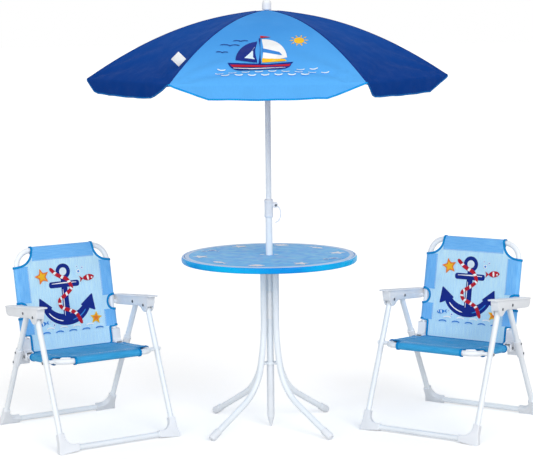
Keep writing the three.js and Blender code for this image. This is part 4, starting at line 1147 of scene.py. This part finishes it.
def seat_cloth(name, place):
    line = SEAT_LINE
    depth = lambda u, s: sag(u, s, 5.5, SIDE_X - 24, SEAT_NOSE + 24, 151)
    along = np.concatenate([[SEAT_NOSE], SEAT_NOSE + SEAT_CORNER * np.cos(np.linspace(1.5, 0.02, 12)),
                            np.linspace(18, 146, 15), np.linspace(148, 156, 5), np.linspace(162, 184, 4)])
    hems = [sleeve(line, ("s", side * SIDE_X), (13, 148), 24) for side in (-1, 1)]
    hems.append(sleeve(line, ("u", SEAT_NOSE, -1), (SEAT_CORNER - SIDE_X, SIDE_X - SEAT_CORNER), 26))
    curve = line.point(SIDE_X - SEAT_CORNER * np.sin(QUARTER), SEAT_NOSE + SEAT_CORNER * np.cos(QUARTER),
                       EDGE_N)
    run = rounded([(SIDE_X - 2, 148), (125, 150), (125, 183), (100, 183)], 8, 5, closed=False)
    tail = dense([line.point(u, s, HEM_N + depth(u, s)) for u, s in run], 10)
    edges = (edging(line, ((SIDE_X, 11.5), "s"), curve, ((SIDE_X - 43, SEAT_NOSE, -1), "u"))
             + edging(line, ((SIDE_X, 147), "s"), tail))
    inset = SIDE_X - 22.4
    runs = [(side * inset, 17, side * inset, 145) for side in (-1, 1)]
    runs.append((-SIDE_X + 46, SEAT_NOSE + 24.4, SIDE_X - 46, SEAT_NOSE + 24.4))
    sling(name, "seat", line, place, depth, (SEAT, SEAT), cloth_sheet(line, along, seat_half, depth), hems,
          edges, (101, 183), runs, None)


def chair_print():
    """An anchor, starfish, fish and small waves, as (across, up) shapes on the back."""
    x, y = -4, 30
    at = lambda *points: np.array(points, float) + (x, y)
    fluke_arc = lambda start, end: stroke(arc(x, y - 14, 68, 58, start, end, 14), 1.5)
    s = [
        ("navy", at((-11, -66), (-9, 56), (9, 56), (11, -66))),
        ("navy", arc(x, y + 72, 23, 23, 0, 354, 40)),
        ("foam", arc(x, y + 72, 11.5, 11.5, 0, 350, 26)),
        ("navy", rounded(at(*rect(-48, 48, 26, 44)), 8, 4)),
        ("navy", np.vstack([arc(x, y - 14, 78, 70, 200, 340, 28), arc(x, y - 10, 58, 42, 340, 200, 28)])),
        *(("navy", rounded(at((side * 44, -30), (side * 84, 2), (side * 90, -50)), 5)) for side in (-1, 1)),
        ("white", stroke(at((-39, 38), (0, 39), (39, 38)), 1.7)),
        ("white", stroke(at((-5.5, 20), (-6, -20), (-6.5, -56)), 1.4)),
        ("white", fluke_arc(212, 258)), ("sky", fluke_arc(284, 330)),
    ]
    rope = at((-42, 84), (-20, 62), (12, 50), (25, 22), (2, 4), (-22, -10), (-18, -32), (10, -42), (30, -52),
              (44, -84))
    t = np.linspace(0, len(rope) - 1, 46)
    line = np.column_stack([np.interp(t, range(len(rope)), rope[:, i]) for i in (0, 1)])
    for _ in range(3):
        line[1:-1] = (line[:-2] + 2 * line[1:-1] + line[2:]) / 4
    s.append(("red", stroke(line, 5.4)))
    for a, b in zip(line[3:43:4], line[4:44:4]):
        d = unit(b - a)
        n = np.array((-d[1], d[0])) * 4.9
        s.append(("white", [a - n - d * 1.6, a + n + d * 0.6, b + n + d * 1.2, b - n - d]))
    s += [(ink, star(*where)) for ink, *where in (
        ("orange", -72, 92, 25, 11, 104), ("sun", -72, 92, 15, 7, 104), ("sun", 84, -42, 20, 9, 82),
        ("orange", 84, -42, 12, 5.5, 82))]
    for fx, fy, size, turn, ink, stripe in ((74, 78, 19, 186, "red", "white"),
                                            (-86, -44, 13, 8, "sky", "foam")):
        band = arc(fx + size * 0.1, fy, size * 0.16, size * 0.42, 0, 350, 14)
        eye = turned_about([(fx - size * 0.52, fy + size * 0.1)], turn, fx, fy)[0]
        s += [*((ink, p) for p in fish(fx, fy, size, turn)), (stripe, turned_about(band, turn, fx, fy)),
              ("white", arc(*eye, size * 0.13, size * 0.13, 0, 340, 12))]
    for bx, by, r in ((44, 98, 5.5), (56, 108, 3.6), (40, 112, 2.6), (-50, -50, 4), (-60, -40, 2.6)):
        s += [("white", arc(bx, by, r, r, 0, 348, 20)), ("sky", arc(bx, by, r * 0.62, r * 0.62, 0, 345, 16))]
    rows = waves(((-60, 4, 0), (-72, 5, 7)), 42, 13, 6)
    return s + [(("white", "sky")[row], outline) for row, across, outline in rows]


def shoe(name, end, hand, body, line, place):
    """Corner shoe of a floor frame, close round the tube's bend, with a toe that points outwards."""
    side = -1 if hand == "right" else 1
    inner = arc(-FLOOR_BEND, FLOOR_BEND, 26.4, 26.4, 0, -90, 12)
    toe = rounded([(-48, 10.3), (-48, -10.5), (14, -20), (15, -10), (9.8, 16), (9.4, 44), (-9.4, 44)],
                  3.5, 4, closed=False)
    v, f = slab(np.vstack([inner, toe]), -9.6, 9.6, 2.6, 4)
    v = line.point(side * (LEG_X + v[:, 0]), v[:, 1], v[:, 2])
    v[:, 2] = np.maximum(v[:, 2], 0.0)
    add_mesh(f"{name}_{end}_shoe_{hand}_smooth", (v, f if side > 0 else flipped(f)), PLASTIC,
             f"{name}_chair_{body}", "white_plastic", place, f"{name}_chair_{end}_shoe_{hand}")


def arm_top(y):
    return 388 - 0.1138 * (y - 109)


def armrest(name, hand, place):
    """A channel moulding, open below: a crowned top plate, two webs round the leg tops and a nose wall."""
    side = -1 if hand == "right" else 1
    x = side * LEG_X
    y = np.array([109, 109.6, 112, 116, 150, 200, 250, 300, 340, 343.5, 345.4, 346])
    grow = [0.62, 0.82, 0.95, 1, 1, 1, 1, 1, 0.97, 0.9, 0.78, 0.6]
    half = [(15, -0.6), (14.6, 1.0), (13, 2.1), (7, 2.5)]
    section = [*half, (0, 2.6), *((-a, b) for a, b in half[::-1]), (-14.4, -2.2), (-13, -2.6), (13, -2.6),
               (14.4, -2.2)]
    line = np.column_stack([np.full(len(y), x), y, arm_top(y) - 2.7])
    parts = [swept(line, section, np.repeat([[0, 0.113, 1.0]], len(y), 0), grow)]
    web = [(125, arm_top(125) - 4), (127, 366), (131, 351), (137, 340), (146, 335), (158, 336.5),
           (170, 346), (184, 349), (200, 347), (214, 345.3), (318, 334.5), (332, 335), (341, 345),
           (342, arm_top(342) - 4)]
    nose = [(125, arm_top(125) - 4), (127, 366), (131, 352), (134, 353), (130.2, 366.5),
            (128.4, arm_top(128) - 4)]
    heel = [(338, 346), (342, 347), (342, arm_top(342) - 4), (338.6, arm_top(338.6) - 4)]
    web = rounded(web, 6, 4)
    for outline, low, high, edge, steps in (
            (web, -12, -8.8, 0.8, 2), (web, 8.8, 12, 0.8, 2), (rounded(nose, 1.2, 2), -9.2, 9.2, 0.2, 1),
            (rounded(heel, 0.8, 2), -9.2, 9.2, 0.2, 1)):
        v, f = slab(outline, low, high, edge, steps)
        parts.append((np.column_stack([x + v[:, 2], v[:, 0], v[:, 1]]), f))
    washer = lathe(rounded([(0, 0), (6.4, 0), (6, 1.1), (0, 1.1)], 0.5), 28, closed=False)
    for pivot in (ARM_PIVOT, LEG_PIVOT):
        parts.append(pin(x - 13.7, x + 13.7, pivot, 2.9, 20, 0.3))
        parts += [aimed(washer, (x + out * 11.9, *pivot), (out, 0, 0)) for out in (-1, 1)]
    near, far = SIDE_X - TUBE, LEG_X - 9
    parts += [pin(side * a, side * b, BACK_PIVOT, r, 24) for a, b, r in (
        (SIDE_X + TUBE + 0.35, far, 6), (near - 3, far, 2.9), (near - 3, near - 0.35, 5.5))]
    add_mesh(f"{name}_armrest_{hand}_smooth", parts, PLASTIC, name + "_chair_arms", "white_plastic", place,
             f"{name}_chair_armrest_{hand}", edge=42)


def rivets(name, place):
    """Domed heads on the pivots, each on the body whose pin it closes."""
    def heads(label, body, spots, radius, height):
        parts = [aimed(dome(radius, height), p, (way, 0, 0)) for *p, way in spots]
        add_mesh(f"{name}_{label}", parts, RIVET, f"{name}_chair_{body}", "white_steel", place)

    sides = (-1, 1)
    arms = [(side * LEG_X + side * out * 13.7, *at, side * out) for side in sides
            for at in (ARM_PIVOT, LEG_PIVOT) for out in (1, -1)]
    backs = [(side * (SIDE_X - TUBE - 2.9), *BACK_PIVOT, -side) for side in sides]
    seats = [(side * (LEG_X + TUBE + 2.8), *SEAT_PIVOT, side) for side in sides]
    legs = [(side * (LEG_X + 11.0), *REAR.at(REAR.length - d), side) for side in sides for d in (140, 174)]
    hinges = [(side * (SIDE_X + off * 13.5), *HINGE, side * off) for side in sides for off in sides]
    heads("arm_rivets", "arms", arms + backs, 4.2, 2.0)
    heads("seat_rivets", "seat", seats, 4.6, 1.6)
    heads("bracket_screws", "rear_legs", legs, 3.4, 1.8)
    heads("hinge_rivets", "back", hinges, 4.4, 1.6)


def chair(name):
    place = chair_place(name)
    edge = LEG_X + TUBE
    bars = [tube(dense([(x, *SEAT_LINE.at(158)) for x in (-SIDE_X, SIDE_X)]), 6)]
    bars += [pin(side * a, side * b, SEAT_PIVOT, r) for side in (-1, 1) for a, b, r in (
        (SIDE_X, LEG_X - TUBE - 0.35, 5.5), (SIDE_X, edge + 1.35, 2.9), (edge + 0.35, edge + 2.95, 5.5))]
    for part, body, x, near, far, bend in (
            ("front", "base", LEG_X, FRONT.at(FRONT.length + 9), FRONT.at(0), FLOOR_BEND),
            ("rear", "rear_legs", LEG_X, REAR.at(REAR.length + 7), REAR_FOOT, FLOOR_BEND),
            ("seat", "seat", SIDE_X, SEAT_LINE.at(SEAT_LINE.length + 8), SEAT_LINE.at(SEAT_NOSE), SEAT_BEND),
            ("back", "back", SIDE_X, back_at(234), BACK_LINE.at(TOP), BACK_BEND)):
        frame_tube = tube(bent_line([(-x, *near), (-x, *far), (x, *far), (x, *near)], bend), TUBE)
        add_mesh(f"{name}_{part}_tube", [frame_tube] + (bars if part == "seat" else []), STEEL,
                 f"{name}_chair_{body}", "white_steel", place, f"{name}_chair_{part}_frame", edge=50)
    for hand in ("left", "right"):
        armrest(name, hand, place)
        mould(f"{name}_chair_knuckle_{hand}", PLASTIC, 0.9)
        mould(f"{name}_chair_bracket_{hand}", PLASTIC, 0.7)
        shoe(name, "front", hand, "base", FRONT, place)
        shoe(name, "rear", hand, "rear_legs", REAR, place)
    back_cloth(name, place)
    seat_cloth(name, place)
    rivets(name, place)


# ---------- camera, light and floor ----------
def placed(name, data):
    obj = bpy.data.objects.new(name, data)
    scene.collection.objects.link(obj)
    return obj


def camera():
    away, height, pitch, shift, roll = 4.7188, 1.1826, 0.129, -0.0071, 0.0106
    data = bpy.data.cameras.new("camera")
    data.sensor_width = 36
    data.sensor_fit = "HORIZONTAL"
    data.lens = 1674.45 / 533 * 36
    data.clip_end = 60
    obj = placed("camera", data)
    obj.matrix_world = (Matrix.Translation((shift, -away, height))
                        @ Matrix.Rotation(pi / 2 - pitch, 4, "X") @ Matrix.Rotation(-roll, 4, "Z"))
    scene.camera = obj


def sun_light(name, azimuth, elevation, strength, softness):
    """A soft sun. Azimuth 0 shines along +Y, and 90 along -X."""
    data = bpy.data.lights.new(name, "SUN")
    data.energy = strength
    data.angle = radians(softness)
    a, e = radians(azimuth), radians(elevation)
    aim = Vector((-sin(a) * cos(e), cos(a) * cos(e), -sin(e)))
    placed(name, data).rotation_euler = aim.to_track_quat("-Z", "Y").to_euler()


def studio():
    """A white background for the rays that show it, and a softer light on the object."""
    scene.world = bpy.data.worlds.new("studio")
    w = Nodes(scene.world)
    white = w.node("Background", Color=(1, 1, 1, 1), Strength=1.0)
    soft = w.tree.nodes["Background"]
    soft.inputs["Color"].default_value = (1, 0.995, 0.985, 1)
    soft.inputs["Strength"].default_value = 0.62
    pick = w.node("MixShader", i0=w.seen(), i1=soft.outputs[0], i2=white.outputs[0])
    w.feed(w.tree.nodes["World Output"].inputs["Surface"], pick.outputs[0])
    sun_light("key", 26, 30, 1.04, 30)
    sun_light("fill", -24, 9, 0.94, 36)
    scene.view_settings.view_transform = "Standard"


def floor():
    """A wide floor that looks white, keeps the shadow and throws little light back up."""
    grey = lambda value: (value, value, value, 1)
    s = Shader("studio_floor", grey(0.96), 0.9, Specular_IOR_Level=0.0, Emission_Color=grey(1))
    found = s.seen()
    s.feed(s.out["Emission Strength"], s.math("MULTIPLY", found, 0.34))
    s.feed(s.out["Base Color"], s.mix(found, grey(0.7), s.patches(grey(0.95), grey(0.97), 3)))
    mesh = bpy.data.meshes.new("studio_floor")
    mesh.from_pydata([(x * MM, y * MM, -0.4 * MM) for x, y in rect(-60000, 60000, -60000, 60000)], [],
                     [(0, 1, 2, 3)])
    mesh.materials.append(s.material)
    placed("studio_floor", mesh)


table()
pole()
ribs()
canopy()
canopy_prints()
chair("left")
chair("right")
camera()
studio()
floor()
